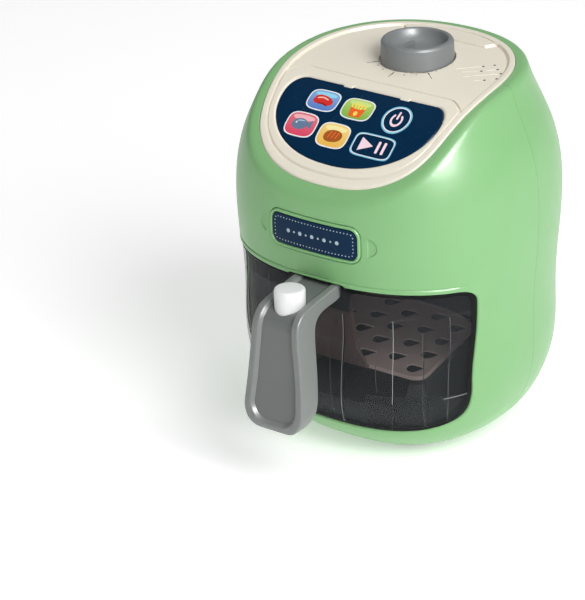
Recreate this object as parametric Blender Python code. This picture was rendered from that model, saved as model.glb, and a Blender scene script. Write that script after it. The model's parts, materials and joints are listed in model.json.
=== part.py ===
"""Toy air fryer: a free-standing pretend-cooking appliance.

A pot-shaped two-part housing on four feet, a sloping control deck with a dial and a printed display,
a drawer with a smoked window and a channel-section handle, a perforated cooking tray, and the parts
inside that make it light up and play sounds.

Built in millimetres and scaled to metres when each object is made.  +Z is up, the drawer opens
towards -Y and +X is to the right of somebody who faces the drawer.
"""
import bpy
import bmesh
import math
import numpy as np
from mathutils import Vector

MM = 0.001

# ---------------------------------------------------------------- driving dimensions (mm)
REAR_POWER = 2.168           # squareness of the plan shape behind the middle
REAR_DEPTH = 1.028           # and its depth over its half-width
FRONT_POWER = 2.4            # the front is a little flatter
FRONT_DEPTH = 0.927
# half-width of the housing at each height above the table
PROFILE = [(0.0, 37.5), (7.5, 51.5), (21.0, 64.0), (41.0, 70.9), (71.0, 71.6), (101.0, 73.4),
           (127.5, 73.66), (150.0, 68.8), (169.0, 60.67), (184.0, 55.8)]
WALL = 2.2                   # housing wall
BASE_Z = 3.0                 # underside of the housing
SEAM_Y = 6.0                 # front and rear shells meet here
GAP = 0.3                    # clearance between touching pieces

BEND_Z = 168.12              # the deck's ruled surface: height at the bend line
BEND_Y = -24.9
BEND_SOFT = 20.05            # how far the bend is spread out
SLOPE_REAR = 0.026
SLOPE_FRONT = 0.991
RIM_ROUND = 2.5              # rounded top edge of the housing
RIM_INSET = 5.1              # edge of the housing's top to the deck
LIP_WIDTH = 3.0

# right half of the drawer opening in the front shell, (x, z) from the front
OPEN_EDGE = [(0.0, 18.2), (20.0, 18.2), (33.0, 18.4), (44.0, 19.5), (50.0, 21.1), (54.0, 22.8), (57.4, 25.0), (60.2, 28.2), (62.2, 32.2),
             (63.7, 37.4), (64.6, 44.0), (65.4, 60.0), (66.0, 76.0), (66.4, 85.5), (66.2, 88.6), (65.0, 91.0), (62.6, 92.2), (58.0, 92.4),
             (30.0, 92.4), (15.6, 92.4), (15.4, 93.4), (0.0, 93.4)]   # the step at the end clears the handle's arm

DIAL_X = 1.2
DIAL_Y = 14.4
DIAL_R = 17.0
DIAL_H = 8.65
DIAL_SEAT = 0.9              # the dial stands upright round a low seat

HANDLE_HALF_TOP = 12.4
HANDLE_HALF_LOW = 16.4
HANDLE_LOW_Z = 29.2
BUTTON_R = 7.2
BUTTON_Y = -86.4
BUTTON_TOP = 96.3
BUTTON_TRAVEL = 2.0
CATCH_PIVOT = (-76.0, 87.1)  # y, z of the catch lever's pin

PAN_FLOOR = 19.4
TRAY_Z = 46.4
TRAY_T = 2.0

DOOR_HALF = 27.5
DOOR_LOW = 44.0
DOOR_TOP = 106.0

Y_SHIFT = 13.14              # the frame's origin is under the middle of the object's own box
SEG = 56                     # points round the housing

# ---------------------------------------------------------------- clear the scene
for o in list(bpy.data.objects):
    bpy.data.objects.remove(o, do_unlink=True)
for m in list(bpy.data.meshes):
    bpy.data.meshes.remove(m)

# ---------------------------------------------------------------- materials
PALETTE = {
    "shell_green": ((0.36, 0.62, 0.31), 0.30, 0.0),
    "deck_cream": ((0.80, 0.76, 0.68), 0.38, 0.0),
    "lens_navy": ((0.004, 0.022, 0.060), 0.15, 0.0),
    "dial_grey": ((0.19, 0.20, 0.20), 0.42, 0.0),
    "handle_grey": ((0.16, 0.17, 0.17), 0.40, 0.0),
    "button_white": ((0.85, 0.86, 0.87), 0.35, 0.0),
    "window_smoke": ((0.06, 0.06, 0.065), 0.08, 0.0),
    "pan_charcoal": ((0.045, 0.047, 0.050), 0.45, 0.0),
    "tray_brown": ((0.20, 0.16, 0.155), 0.45, 0.0),
    "liner_dark": ((0.030, 0.032, 0.035), 0.60, 0.0),
    "foot_rubber": ((0.05, 0.05, 0.05), 0.80, 0.0),
    "inner_plastic": ((0.62, 0.62, 0.60), 0.50, 0.0),
    "board_green": ((0.02, 0.16, 0.07), 0.45, 0.0),
    "steel": ((0.60, 0.60, 0.62), 0.30, 1.0),
    "cell_wrap": ((0.10, 0.12, 0.20), 0.35, 0.1),
    "speaker_black": ((0.03, 0.03, 0.03), 0.60, 0.0),
    "lamp_clear": ((0.90, 0.55, 0.35), 0.15, 0.0),
}
MATERIALS = {}
for key, (rgb, rough, metal) in PALETTE.items():
    mat = bpy.data.materials.new(key)
    mat.use_nodes = True
    shader = mat.node_tree.nodes["Principled BSDF"]
    shader.inputs["Base Color"].default_value = (*rgb, 1.0)
    shader.inputs["Roughness"].default_value = rough
    shader.inputs["Metallic"].default_value = metal
    MATERIALS[key] = mat


# ---------------------------------------------------------------- object and mesh helpers
def make(name, verts, faces):
    """An object from vertices in mm, not yet in its final material."""
    mesh = bpy.data.meshes.new(name)
    mesh.from_pydata([(x * MM, (y + Y_SHIFT) * MM, z * MM) for x, y, z in verts], [], faces)
    bm = bmesh.new()
    bm.from_mesh(mesh)
    bmesh.ops.recalc_face_normals(bm, faces=bm.faces[:])
    bm.to_mesh(mesh)
    bm.free()
    ob = bpy.data.objects.new(name, mesh)
    bpy.context.scene.collection.objects.link(ob)
    return ob


def combine(target, tool, how):
    """target becomes target and/or/minus tool; the tool is used up."""
    mod = target.modifiers.new("join", "BOOLEAN")
    mod.operation = how
    mod.solver = "EXACT"
    mod.object = tool
    bpy.context.view_layer.update()
    graph = bpy.context.evaluated_depsgraph_get()
    result = bpy.data.meshes.new_from_object(target.evaluated_get(graph))
    target.modifiers.clear()
    old = target.data
    target.data = result
    bpy.data.meshes.remove(old)
    bpy.data.objects.remove(tool, do_unlink=True)
    bm = bmesh.new()
    bm.from_mesh(result)
    bmesh.ops.remove_doubles(bm, verts=bm.verts[:], dist=0.00001)
    bmesh.ops.dissolve_degenerate(bm, edges=bm.edges[:], dist=0.00001)
    bm.to_mesh(result)
    bm.free()
    return target


def cut(target, tool):
    return combine(target, tool, "DIFFERENCE")


def join(target, tool):
    return combine(target, tool, "UNION")


def keep(target, tool):
    return combine(target, tool, "INTERSECT")


def finish(ob, material, smooth=30.0, pivot=None):
    """Material, shading, triangles, and the object's origin on its joint's axis (mm)."""
    bm = bmesh.new()
    bm.from_mesh(ob.data)
    bmesh.ops.dissolve_limit(bm, angle_limit=math.radians(0.05), verts=bm.verts[:], edges=bm.edges[:])
    bmesh.ops.triangulate(bm, faces=bm.faces[:])
    bm.to_mesh(ob.data)
    bm.free()
    ob.data.materials.clear()
    ob.data.materials.append(MATERIALS[material])
    if smooth:
        ob.data.shade_smooth()
        ob.data.set_sharp_from_angle(angle=math.radians(smooth))
    if pivot is not None:
        at = Vector((pivot[0] * MM, (pivot[1] + Y_SHIFT) * MM, pivot[2] * MM))
        for v in ob.data.vertices:
            v.co -= at
        ob.location = at
    return ob


def box(name, x0, x1, y0, y1, z0, z1):
    v = [(x, y, z) for z in (z0, z1) for y in (y0, y1) for x in (x0, x1)]
    f = [(0, 2, 3, 1), (4, 5, 7, 6), (0, 1, 5, 4), (2, 6, 7, 3), (0, 4, 6, 2), (1, 3, 7, 5)]
    return make(name, v, f)


def prism(name, outline, lo, hi, along):
    """A closed outline (two coordinates) pushed along the third axis."""
    n = len(outline)
    if along == "z":
        place = lambda a, b, c: (a, b, c)
    elif along == "y":
        place = lambda a, b, c: (a, c, b)
    else:
        place = lambda a, b, c: (c, a, b)
    v = [place(a, b, lo) for a, b in outline] + [place(a, b, hi) for a, b in outline]
    f = [tuple(range(n)), tuple(range(2 * n - 1, n - 1, -1))]
    f += [(i, (i + 1) % n, n + (i + 1) % n, n + i) for i in range(n)]
    return make(name, v, f)


def rings(name, loops, capped=True):
    """A solid skinned over loops of points; its ends are closed with strips across."""
    n = len(loops[0])
    v = [p for loop in loops for p in loop]
    f = []
    for k in range(len(loops) - 1):
        for i in range(n):
            j = (i + 1) % n
            f.append((k * n + i, k * n + j, (k + 1) * n + j, (k + 1) * n + i))
    last = (len(loops) - 1) * n
    for i in range(n // 2 - 1):
        f.append((i, i + 1, n - 2 - i, n - 1 - i))
        f.append((last + i + 1, last + i, last + n - 1 - i, last + n - 2 - i))
    return make(name, v, f)


def turned(name, outline, seg=24, centre=(0, 0, 0), tilt=0.0, axis="z"):
    """A closed profile of (radius, height) turned about an axis; points at radius 0 become poles."""
    v, f, rows = [], [], []
    cx, cy, cz = centre
    ct, st = math.cos(tilt), math.sin(tilt)

    def put(x, y, z):
        if axis == "y":
            x, y, z = x, z, y
        elif axis == "x":
            x, y, z = z, x, y
        y, z = y * ct - z * st, y * st + z * ct
        v.append((cx + x, cy + y, cz + z))

    for r, h in outline:
        if r < 1e-6:
            rows.append([len(v)])
            put(0, 0, h)
        else:
            rows.append(list(range(len(v), len(v) + seg)))
            for i in range(seg):
                a = 2 * math.pi * i / seg
                put(r * math.cos(a), r * math.sin(a), h)
    m = len(rows)
    open_profile = len(rows[0]) == 1 and len(rows[-1]) == 1
    for k in range(m - 1 if open_profile else m):
        a, b = rows[k], rows[(k + 1) % m]
        for i in range(seg):
            j = (i + 1) % seg
            if len(a) == 1 and len(b) == 1:
                continue
            if len(a) == 1:
                f.append((a[0], b[j], b[i]))
            elif len(b) == 1:
                f.append((a[i], a[j], b[0]))
            else:
                f.append((a[i], a[j], b[j], b[i]))
    return make(name, v, f)


def rounded(x0, x1, y0, y1, r, steps=4):
    """A rectangle with rounded corners, anticlockwise. r is one radius or (low, high)."""
    low, high = r if isinstance(r, tuple) else (r, r)
    out = []
    for cx, cy, rr, a0 in ((x1 - low, y0 + low, low, -90), (x1 - high, y1 - high, high, 0),
                           (x0 + high, y1 - high, high, 90), (x0 + low, y0 + low, low, 180)):
        for k in range(steps + 1):
            a = math.radians(a0 + 90 * k / steps)
            out.append((cx + rr * math.cos(a), cy + rr * math.sin(a)))
    return out


# ---------------------------------------------------------------- the housing's surface
def natural_spline(points):
    """Coefficients of the smooth curve through the profile's points."""
    x = np.array([p[0] for p in points])
    y = np.array([p[1] for p in points])
    h = np.diff(x)
    n = len(x)
    a = np.zeros((n, n))
    b = np.zeros(n)
    a[0, 0] = a[-1, -1] = 1.0
    for i in range(1, n - 1):
        a[i, i - 1], a[i, i], a[i, i + 1] = h[i - 1], 2 * (h[i - 1] + h[i]), h[i]
        b[i] = 6 * ((y[i + 1] - y[i]) / h[i] - (y[i] - y[i - 1]) / h[i - 1])
    return x, y, h, np.linalg.solve(a, b)


SPLINE = natural_spline(PROFILE)


def half_width(z):
    x, y, h, m = SPLINE
    i = int(min(max(np.searchsorted(x, z) - 1, 0), len(h) - 1))
    t = z - x[i]
    c1 = (y[i + 1] - y[i]) / h[i] - h[i] * (2 * m[i] + m[i + 1]) / 6
    return y[i] + t * (c1 + t * (m[i] / 2 + t * (m[i + 1] - m[i]) / (6 * h[i])))


def normal_factor(z):
    """How much longer a horizontal inset is than the wall it stands for."""
    d = (half_width(z + 0.5) - half_width(z - 0.5))
    return math.sqrt(1 + d * d)


def section(theta):
    """Unit plan shape; theta 0 looks along -Y, positive towards +X."""
    s, c = math.sin(theta), -math.cos(theta)
    power, depth = (FRONT_POWER, FRONT_DEPTH) if c < 0 else (REAR_POWER, REAR_DEPTH)
    k = (abs(s) ** power + abs(c / depth) ** power) ** (-1.0 / power)
    return k * s, k * c


def wall_point(theta, z, inset=0.0):
    r = half_width(z) - inset * normal_factor(z)
    sx, sy = section(theta)
    return (r * sx, r * sy, z)


def deck_height(y):
    t = y - BEND_Y
    return (BEND_Z + 0.5 * (SLOPE_REAR + SLOPE_FRONT) * t
            + 0.5 * (SLOPE_REAR - SLOPE_FRONT) * (math.sqrt(t * t + BEND_SOFT ** 2) - BEND_SOFT))


def rim_point(theta, inset=0.0):
    """Where the housing's side meets the deck's surface."""
    lo, hi = 90.0, 183.0
    for _ in range(40):
        mid = (lo + hi) / 2
        if mid < deck_height(wall_point(theta, mid, inset)[1]):
            lo = mid
        else:
            hi = mid
    return wall_point(theta, (lo + hi) / 2, inset)


ANGLES = [2 * math.pi * (i + 0.5) / SEG for i in range(SEG)]
RIM = [rim_point(a) for a in ANGLES]


def rim_inset(distance, lift):
    """The rim's outline moved inwards in plan, at a height above or below the deck's surface."""
    out = []
    for i in range(SEG):
        ax, ay, _ = RIM[i - 1]
        bx, by, _ = RIM[(i + 1) % SEG]
        tx, ty = bx - ax, by - ay
        length = math.hypot(tx, ty)
        x = RIM[i][0] - ty / length * distance
        y = RIM[i][1] + tx / length * distance
        out.append((x, y, deck_height(y) + lift))
    return out


def housing_solid(name):
    rows = []
    for f in (0.0, 0.02, 0.05, 0.09, 0.14, 0.21, 0.31, 0.43, 0.56, 0.68, 0.79, 0.90, 1.0):
        rows.append([wall_point(a, BASE_Z + f * (p[2] - RIM_ROUND - BASE_Z)) for a, p in zip(ANGLES, RIM)])
    start = rows[-1]
    end = rim_inset(RIM_ROUND, 0.0)
    for t in (0.33, 0.67, 1.0):
        rows.append([tuple((1 - t) ** 2 * s + 2 * t * (1 - t) * c + t * t * e for s, c, e in zip(a, b, d))
                     for a, b, d in zip(start, RIM, end)])
    return rings(name, rows)


def inside_solid(name, inset, top_drop, z_low, z_high=None):
    """What lies inside a wall of the given thickness, up to the deck less top_drop or to z_high."""
    rows = []
    for f in (0.0, 0.03, 0.07, 0.12, 0.2, 0.32, 0.46, 0.6, 0.74, 0.88, 1.0):
        row = []
        for a in ANGLES:
            top = z_high
            if top is None:
                lo, hi = 90.0, 183.0
                for _ in range(30):
                    mid = (lo + hi) / 2
                    if mid < deck_height(wall_point(a, mid, inset)[1]) - top_drop:
                        lo = mid
                    else:
                        hi = mid
                top = (lo + hi) / 2
            row.append(wall_point(a, z_low + f * (top - z_low), inset))
        rows.append(row)
    return rings(name, rows)


def deck_sheet(name, outline, low, high, step=5.0):
    """A flat outline in plan bent to follow the deck's surface, between two levels."""
    ob = prism(name, outline, 0.0, 1.0, "z")
    bm = bmesh.new()
    bm.from_mesh(ob.data)
    ys = [p[1] for p in outline]
    y = math.floor(min(ys) / step) * step + step
    while y < max(ys) - 0.3:
        if min(abs(y - q) for q in ys) > 0.4 or True:
            bmesh.ops.bisect_plane(bm, geom=bm.verts[:] + bm.edges[:] + bm.faces[:], dist=0.00001,
                                   plane_co=(0, (y + Y_SHIFT) * MM, 0), plane_no=(0, 1, 0))
        y += step
    for v in bm.verts:
        base = deck_height(v.co.y / MM - Y_SHIFT)
        v.co.z = (base + (high if v.co.z > 0.5 * MM else low)) * MM
    bmesh.ops.triangulate(bm, faces=bm.faces[:])
    bmesh.ops.recalc_face_normals(bm, faces=bm.faces[:])
    bm.to_mesh(ob.data)
    bm.free()
    return ob


# ---------------------------------------------------------------- housing shells
def opening(inset):
    """Outline of the drawer opening, or of something smaller by the given distance."""
    pts = OPEN_EDGE[:-1] + [(0.0, OPEN_EDGE[-1][1])] + [(-x, z) for x, z in reversed(OPEN_EDGE[1:-1])]
    out = []
    for i, (x, z) in enumerate(pts):
        ax, az = pts[i - 1]
        bx, bz = pts[(i + 1) % len(pts)]
        tx, tz = bx - ax, bz - az
        length = math.hypot(tx, tz)
        out.append((x - tz / length * inset, z + tx / length * inset))
    return out



def half_shell(name, y0, y1):
    """The part of the hollow housing between two depths."""
    ob = housing_solid(name)
    keep(ob, box("half", -100, 100, y0, y1, -10, 250))
    cut(ob, inside_solid("hollow", WALL, WALL, BASE_Z - 2.0))
    return cut(ob, prism("deck_opening", [(p[0], p[1]) for p in rim_inset(RIM_INSET, 0)], 110, 200, "z"))


front_shell = half_shell("front_shell", -120, SEAM_Y - GAP / 2)
rear_shell = half_shell("rear_shell", SEAM_Y + GAP / 2, 120)

# shallow seat for the badge and a round finger recess at each of its ends, all following the curved front
BADGE_HALF = 23.5            # the plate
BADGE_LOW, BADGE_TOP = 107.5, 122.0
BADGE_R = 3.8
FRAME_WIDTH = 1.4


def badge_outline(extra):
    return rounded(-BADGE_HALF - extra, BADGE_HALF + extra, BADGE_LOW - extra, BADGE_TOP + extra, BADGE_R + extra, 4)


def front_layer(name, outline, outer, inner):
    """A piece of the curved front between two insets, with the given outline from the front."""
    ob = inside_solid(name, outer, 0, 90.0, 140.0)
    cut(ob, inside_solid("below", inner, 0, 85.0, 145.0))
    return keep(ob, prism("outline", outline, -110, -40, "y"))


EAR_Z = (BADGE_LOW + BADGE_TOP) / 2
for side in (-1, 1):
    ear = [(side * 27.6 + 4.4 * math.cos(2 * math.pi * k / 20), EAR_Z + 4.4 * math.sin(2 * math.pi * k / 20)) for k in range(20)]
    cut(front_shell, front_layer("ear", ear, -2.0, 0.6))
cut(front_shell, front_layer("badge_seat", badge_outline(FRAME_WIDTH + 2 * GAP), -2.0, 1.2))
cut(front_shell, prism("drawer_opening", opening(0.0), -110, -20, "y"))

# screw wells and their posts on the rear shell, and the battery opening
WELLS = [(-37.0, 38.0), (37.0, 38.0), (-37.0, 130.0), (37.0, 130.0)]


def rear_y(x, z, inset=0.0):
    """y of the rear wall at a given x and z."""
    r = half_width(z) - inset * normal_factor(z)
    return REAR_DEPTH * r * max(0.0, 1 - (abs(x) / r) ** REAR_POWER) ** (1 / REAR_POWER)


def well_floor(x, z):
    """y of the shallowest bit of the wall's outside over a screw post's end."""
    return min(rear_y(abs(x) + 5.2, z), rear_y(x, z - 5.2), rear_y(x, z + 5.2))


for x, z in WELLS:
    back = well_floor(x, z)
    join(rear_shell, turned("post", [(0, back - 14), (5.0, back - 14), (5.0, back - 1.0), (0, back - 1.0)], 14,
                            (x, 0, z), axis="y"))
    cut(rear_shell, turned("well", [(0, back - 5), (3.4, back - 5), (3.4, back + 16), (0, back + 16)], 14,
                           (x, 0, z), axis="y"))
    cut(rear_shell, turned("pilot", [(0, back - 20), (1.5, back - 20), (1.5, back - 3), (0, back - 3)], 10,
                           (x, 0, z), axis="y"))
cut(rear_shell, prism("battery_opening", rounded(-DOOR_HALF, DOOR_HALF, DOOR_LOW, DOOR_TOP, 4.0, 3), 40, 100, "y"))
finish(front_shell, "shell_green", 35)
finish(rear_shell, "shell_green", 35)

for k, (x, z) in enumerate(WELLS):
    back = well_floor(x, z)
    finish(turned("shell_screw_%d" % (k + 1),
                  [(0, back - 12.5), (1.1, back - 11.5), (1.1, back - 4.7), (2.9, back - 4.7), (2.9, back - 3.4),
                   (2.2, back - 2.8), (0, back - 2.8)], 12, (x, 0, z), axis="y"), "steel")

# ---------------------------------------------------------------- base plate and feet
BASE_R = 37.6
FEET = [("foot_front_left", -23, -24), ("foot_front_right", 23, -24), ("foot_rear_left", -23, 24), ("foot_rear_right", 23, 24)]
base_outline = [(BASE_R * section(a)[0], BASE_R * section(a)[1]) for a in ANGLES[::1]]
base_plate = prism("base_plate", base_outline, 3.0, 5.4, "z")
for _, x, y in FEET:
    cut(base_plate, turned("foot_pocket", [(0, 0), (5.9, 0), (5.9, 4.2), (0, 4.2)], 18, (x, y, 0)))
BASE_SCREWS = [(-31.0, 0.0), (31.0, 0.0)]
for x, y in BASE_SCREWS:
    cut(base_plate, turned("screw_hole", [(0, 0), (2.9, 0), (2.9, 4.4), (1.5, 4.4), (1.5, 8), (0, 8)], 12, (x, y, 0)))
finish(base_plate, "shell_green", 30)
for name, x, y in FEET:
    finish(turned(name, [(0, 0), (5.0, 0), (5.5, 0.5), (5.5, 3.9), (0, 3.9)], 18, (x, y, 0)), "foot_rubber")
for k, (x, y) in enumerate(BASE_SCREWS):
    finish(turned("base_screw_%d" % (k + 1), [(0, 3.3), (2.5, 3.3), (2.5, 4.1), (1.1, 4.1), (1.1, 9.5), (0, 10.5)], 12,
                  (x, y, 0)), "steel")

# ---------------------------------------------------------------- control deck
MID = -0.35                  # recessed middle of the deck
HIGH = 0.35                  # display surround and rear strip
control_deck = rings("control_deck", [
    rim_inset(3.9, -WALL - GAP - 1.5), rim_inset(3.9, -WALL - GAP), rim_inset(RIM_INSET + GAP, -WALL - GAP),
    rim_inset(RIM_INSET + GAP, 0.6), rim_inset(RIM_INSET + GAP + LIP_WIDTH, 0.6),
    rim_inset(RIM_INSET + GAP + LIP_WIDTH, MID)])


def lip_x(y):
    """Half-width inside the deck's lip at y."""
    inner = rim_inset(RIM_INSET + GAP + LIP_WIDTH - 0.4, 0)
    pts = sorted((p[1], p[0]) for p in inner if p[0] > 0)
    return float(np.interp(y, [p[0] for p in pts], [p[1] for p in pts]))


def zone(y_edge, towards_front):
    """Raised part of the deck in front of or behind a line across it."""
    inner = rim_inset(RIM_INSET + GAP + LIP_WIDTH - 0.4, 0)
    pts = [(p[0], p[1]) for p in inner if (p[1] < y_edge) == towards_front]
    right = sorted([p for p in pts if p[0] > 0], key=lambda p: p[1])
    left = sorted([p for p in pts if p[0] < 0], key=lambda p: -p[1])
    e = lip_x(y_edge)
    if towards_front:
        return right + [(e, y_edge), (-e, y_edge)] + left
    return [(e, y_edge)] + right + left + [(-e, y_edge)]


join(control_deck, deck_sheet("display_surround", zone(-14.4, True), -1.6, HIGH, 5.0))
join(control_deck, deck_sheet("rear_strip", zone(39.4, False), -1.6, HIGH, 5.0))

LENS_X, LENS_HALF = 1.0, 43.0
LENS_TOP, LENS_MID, LENS_DEEP = -21.1, -30.8, -54.6


def lens_outline(extra=0.0, steps=9):
    """D-shaped lens: straight towards the bend, bowed towards the front."""
    out = []
    top, wide, deep = LENS_TOP + extra, LENS_HALF + extra, LENS_DEEP - extra
    for k in range(steps + 1):           # bowed front, right to left
        a = math.radians(-90 + 90 * k / steps)
        out.append((wide * math.cos(a), LENS_MID + (LENS_MID - deep) * math.sin(a)))
    for k in range(1, steps // 2 + 1):   # right top corner
        a = math.radians(90 * k / (steps // 2))
        out.append((wide - 8.0 + 8.0 * math.cos(a), LENS_MID + (top - LENS_MID) * math.sin(a)))
    mirrored = [(-x, y) for x, y in reversed(out)]
    return [(x + LENS_X, y) for x, y in out + [p for p in mirrored if abs(p[0]) > 0.01]]


cut(control_deck, deck_sheet("lens_pocket", lens_outline(GAP), -1.7, 5.0, 5.0))
display_lens = deck_sheet("display_lens", lens_outline(0.0), -1.4, 0.15, 5.0)
finish(display_lens, "lens_navy", 30)

DIAL_BASE = (DIAL_X, DIAL_Y, deck_height(DIAL_Y) + MID + DIAL_SEAT)
join(control_deck, turned("dial_seat", [(0, -1.9), (16.0, -1.9), (16.0, 0.3), (0, 0.3)], 32, DIAL_BASE))
# the dial's skirt runs in a ring-shaped groove
cut(control_deck, turned("dial_groove", [(15.7, -2.7), (17.8, -2.7), (17.8, 4.0), (15.7, 4.0)], 40, DIAL_BASE))
cut(control_deck, turned("spindle_hole", [(0, -12), (4.8, -12), (4.8, 8), (0, 8)], 20, DIAL_BASE))

# speaker slots: four rows that run diagonally, right of the dial
SLOT_DIR = (math.cos(math.radians(37)), math.sin(math.radians(37)))
SLOTS = [((24.7, 12.8), 12.0), ((38.9, 23.2), 1.6), ((28.5, 9.9), 8.6), ((38.6, 17.1), 4.4),
         ((31.9, 6.6), 17.0), ((38.7, 5.3), 4.2), ((45.3, 10.1), 2.2)]
for (x, y), length in SLOTS:
    ux, uy = SLOT_DIR
    w = 0.55
    a = [(x - uy * w, y + ux * w), (x + uy * w, y - ux * w),
         (x + ux * length + uy * w, y + uy * length - ux * w), (x + ux * length - uy * w, y + uy * length + ux * w)]
    cut(control_deck, prism("slot", a, 160, 190, "z"))
finish(control_deck, "deck_cream", 30)

# ---------------------------------------------------------------- badge on the front
badge_frame = front_layer("badge_frame", badge_outline(FRAME_WIDTH + GAP), -0.8, 0.9)
cut(badge_frame, front_layer("plate_pocket", badge_outline(GAP), -3.0, 0.5))
finish(badge_frame, "shell_green", 30)
badge_plate = front_layer("badge_plate", badge_outline(0.0), -0.4, 0.2)
finish(badge_plate, "lens_navy", 30)

# ---------------------------------------------------------------- liner round the drawer's space
liner = inside_solid("liner", WALL + 1.0, 0, 8.0, 118.0)
keep(liner, prism("liner_across", rounded(-65.8, 65.8, 15.6, 112.0, (17.0, 4.0), 4), -100, 60, "y"))
keep(liner, prism("liner_plan", [(-70, -75), (70, -75), (67, -26), (57, 20), (48, 32.5), (-48, 32.5), (-57, 20), (-67, -26)], 0, 130, "z"))
hollow = prism("liner_hollow", rounded(-64.2, 64.2, 17.2, 110.4, (15.4, 2.4), 4), -110, 60, "y")
keep(hollow, prism("hollow_plan", [(-80, -120), (80, -120), (70, -75), (65.2, -26), (55.2, 19.2), (47.0, 30.6), (-47.0, 30.6), (-55.2, 19.2), (-65.2, -26), (-70, -75)], 0, 130, "z"))
cut(liner, hollow)
finish(liner, "liner_dark", 30)
liner.name = "cavity_liner"

cavity_lamp = turned("cavity_lamp", [(0, 104.6), (3.0, 105.4), (4.2, 107.4), (4.2, 110.1), (0, 110.1)], 16, (0, -8, 0))
finish(cavity_lamp, "lamp_clear", 40)

# ---------------------------------------------------------------- drawer: window, pan, handle, catch
window = inside_solid("drawer_window", 0.5, 0, 12.0, 100.0)
cut(window, inside_solid("window_hollow", 2.6, 0, 5.0, 108.0))
keep(window, prism("window_outline", opening(0.6), -110, -22, "y"))
cut(window, box("arm_notch", -13.0, 13.0, -90, -50, 85.4, 100))
finish(window, "window_smoke", 30)

PAN_PLAN = [(-54, -80), (54, -80), (49.0, -50), (38.2, 10), (34.5, 19), (26, 24.5), (-26, 24.5), (-34.5, 19), (-38.2, 10), (-49.0, -50)]
PAN_HOLLOW = [(-51.6, -80), (51.6, -80), (46.6, -50), (35.8, 10), (32.6, 17.4), (25, 22.1), (-25, 22.1), (-32.6, 17.4), (-35.8, 10), (-46.6, -50)]
pan = inside_solid("drawer_pan", 3.2, 0, 10.0, 46.0)
keep(pan, prism("pan_across", rounded(-60.0, 60.0, PAN_FLOOR, 60.0, (20.0, 2.0), 5), -100, 60, "y"))
keep(pan, prism("pan_plan", PAN_PLAN, 0, 70, "z"))
pan_hollow = inside_solid("pan_hollow", 5.2, 0, 11.0, 50.0)
keep(pan_hollow, prism("pan_hollow_across", rounded(-57.8, 57.8, PAN_FLOOR + 2.0, 80.0, (18.0, 2.0), 5), -100, 60, "y"))
keep(pan_hollow, prism("pan_hollow_plan", PAN_HOLLOW, 0, 70, "z"))
cut(pan, pan_hollow)
cut(pan, box("low_front", -80, 80, -100, -52, 33.0, 60))
finish(pan, "pan_charcoal", 30)

# handle: seen from the side as (y, z)
HANDLE_TOP = [(-63.4, 93.0), (-67.0, 92.9), (-88.6, 89.6), (-94.0, 87.8), (-97.6, 84.0), (-98.8, 79.0), (-99.6, 55.0), (-101.9, 38.0),
              (-102.3, 34.0), (-101.6, 30.6), (-99.6, HANDLE_LOW_Z)]
HANDLE_BACK = [(-96.6, 30.2), (-92.6, 34.0), (-89.6, 39.0), (-87.8, 45.0), (-86.6, 56.0), (-85.4, 74.0), (-84.4, 79.8), (-81.8, 83.0),
               (-77.5, 84.6), (-63.4, 86.0)]


def handle_half(z):
    f = min(max((88.0 - z) / 48.0, 0.0), 1.0)
    return HANDLE_HALF_TOP + (HANDLE_HALF_LOW - HANDLE_HALF_TOP) * f


def front_view(inset, low, top, radius, steps=5):
    """Outline of the handle from the front, (x, z)."""
    out = []
    h_low = HANDLE_HALF_LOW - inset
    for k in range(steps + 1):
        a = math.radians(-90 + 90 * k / steps)
        out.append((h_low - radius + radius * math.cos(a), low + radius + radius * math.sin(a)))
    for z in (60.0, 75.0, 88.0, top):
        out.append((handle_half(z) - inset, z))
    mirrored = [(-x, z) for x, z in reversed(out)]
    return out + mirrored


handle_body = prism("handle_body", HANDLE_TOP + HANDLE_BACK, -20, 20, "x")
keep(handle_body, prism("handle_front_view", front_view(0.0, HANDLE_LOW_Z - 0.4, 110, 12.5), -120, -50, "y"))
channel_profile = [(-60, 100), (-110, 100), (-130, 60), (-130, 28), (-101.0, 28.0), (-95.2, 37.0), (-91.2, 42.0), (-89.6, 47.0), (-88.6, 56.0),
                   (-87.4, 73.0), (-86.3, 79.0), (-83.2, 82.0), (-78.4, 85.4), (-60.0, 87.2)]
channel = prism("channel", channel_profile, -30, 30, "x")
keep(channel, prism("channel_front_view", front_view(4.3, 33.8, 110, 8.4), -140, -50, "y"))
cut(handle_body, channel)

insert_profile = [(-63.8, 91.5), (-67.0, 91.4), (-88.0, 88.0), (-92.8, 86.4), (-96.0, 83.2), (-97.1, 78.8), (-97.9, 55.0), (-99.9, 40.0), (-100.5, 33.0),
                  (-99.0, 33.0), (-98.4, 40.2), (-96.3, 55.0), (-95.5, 78.3), (-94.5, 82.2), (-92.0, 84.9), (-87.6, 86.4), (-67.0, 90.4), (-63.8, 90.5)]
handle_insert = prism("handle_insert", insert_profile, -20, 20, "x")
keep(handle_insert, prism("insert_front_view", front_view(4.3 + GAP, 34.1, 110, 8.1), -140, -50, "y"))
cut(handle_insert, turned("button_hole", [(0, 70), (BUTTON_R + 0.5, 70), (BUTTON_R + 0.5, 110), (0, 110)], 24, (0, BUTTON_Y, 0)))
finish(handle_insert, "handle_grey", 30)

# the catch lever's pin crosses the channel; its ends sit in the handle's side walls
py, pz = CATCH_PIVOT
cut(handle_body, turned("pin_hole", [(0, -10.6), (0.8, -10.6), (0.8, 10.6), (0, 10.6)], 12, (0, py, pz), axis="x"))
for sx in (-1, 1):
    cut(handle_body, turned("bracket_pilot", [(0, -70.5), (1.1, -70.5), (1.1, -58), (0, -58)], 10, (sx * 10.7, 0, 89.4), axis="y"))
finish(handle_body, "handle_grey", 30)

catch_pin = turned("catch_pin", [(0, -10.3), (0.5, -10.3), (0.5, 10.3), (0, 10.3)], 12, (0, py, pz), axis="x")
finish(catch_pin, "steel")

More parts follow.
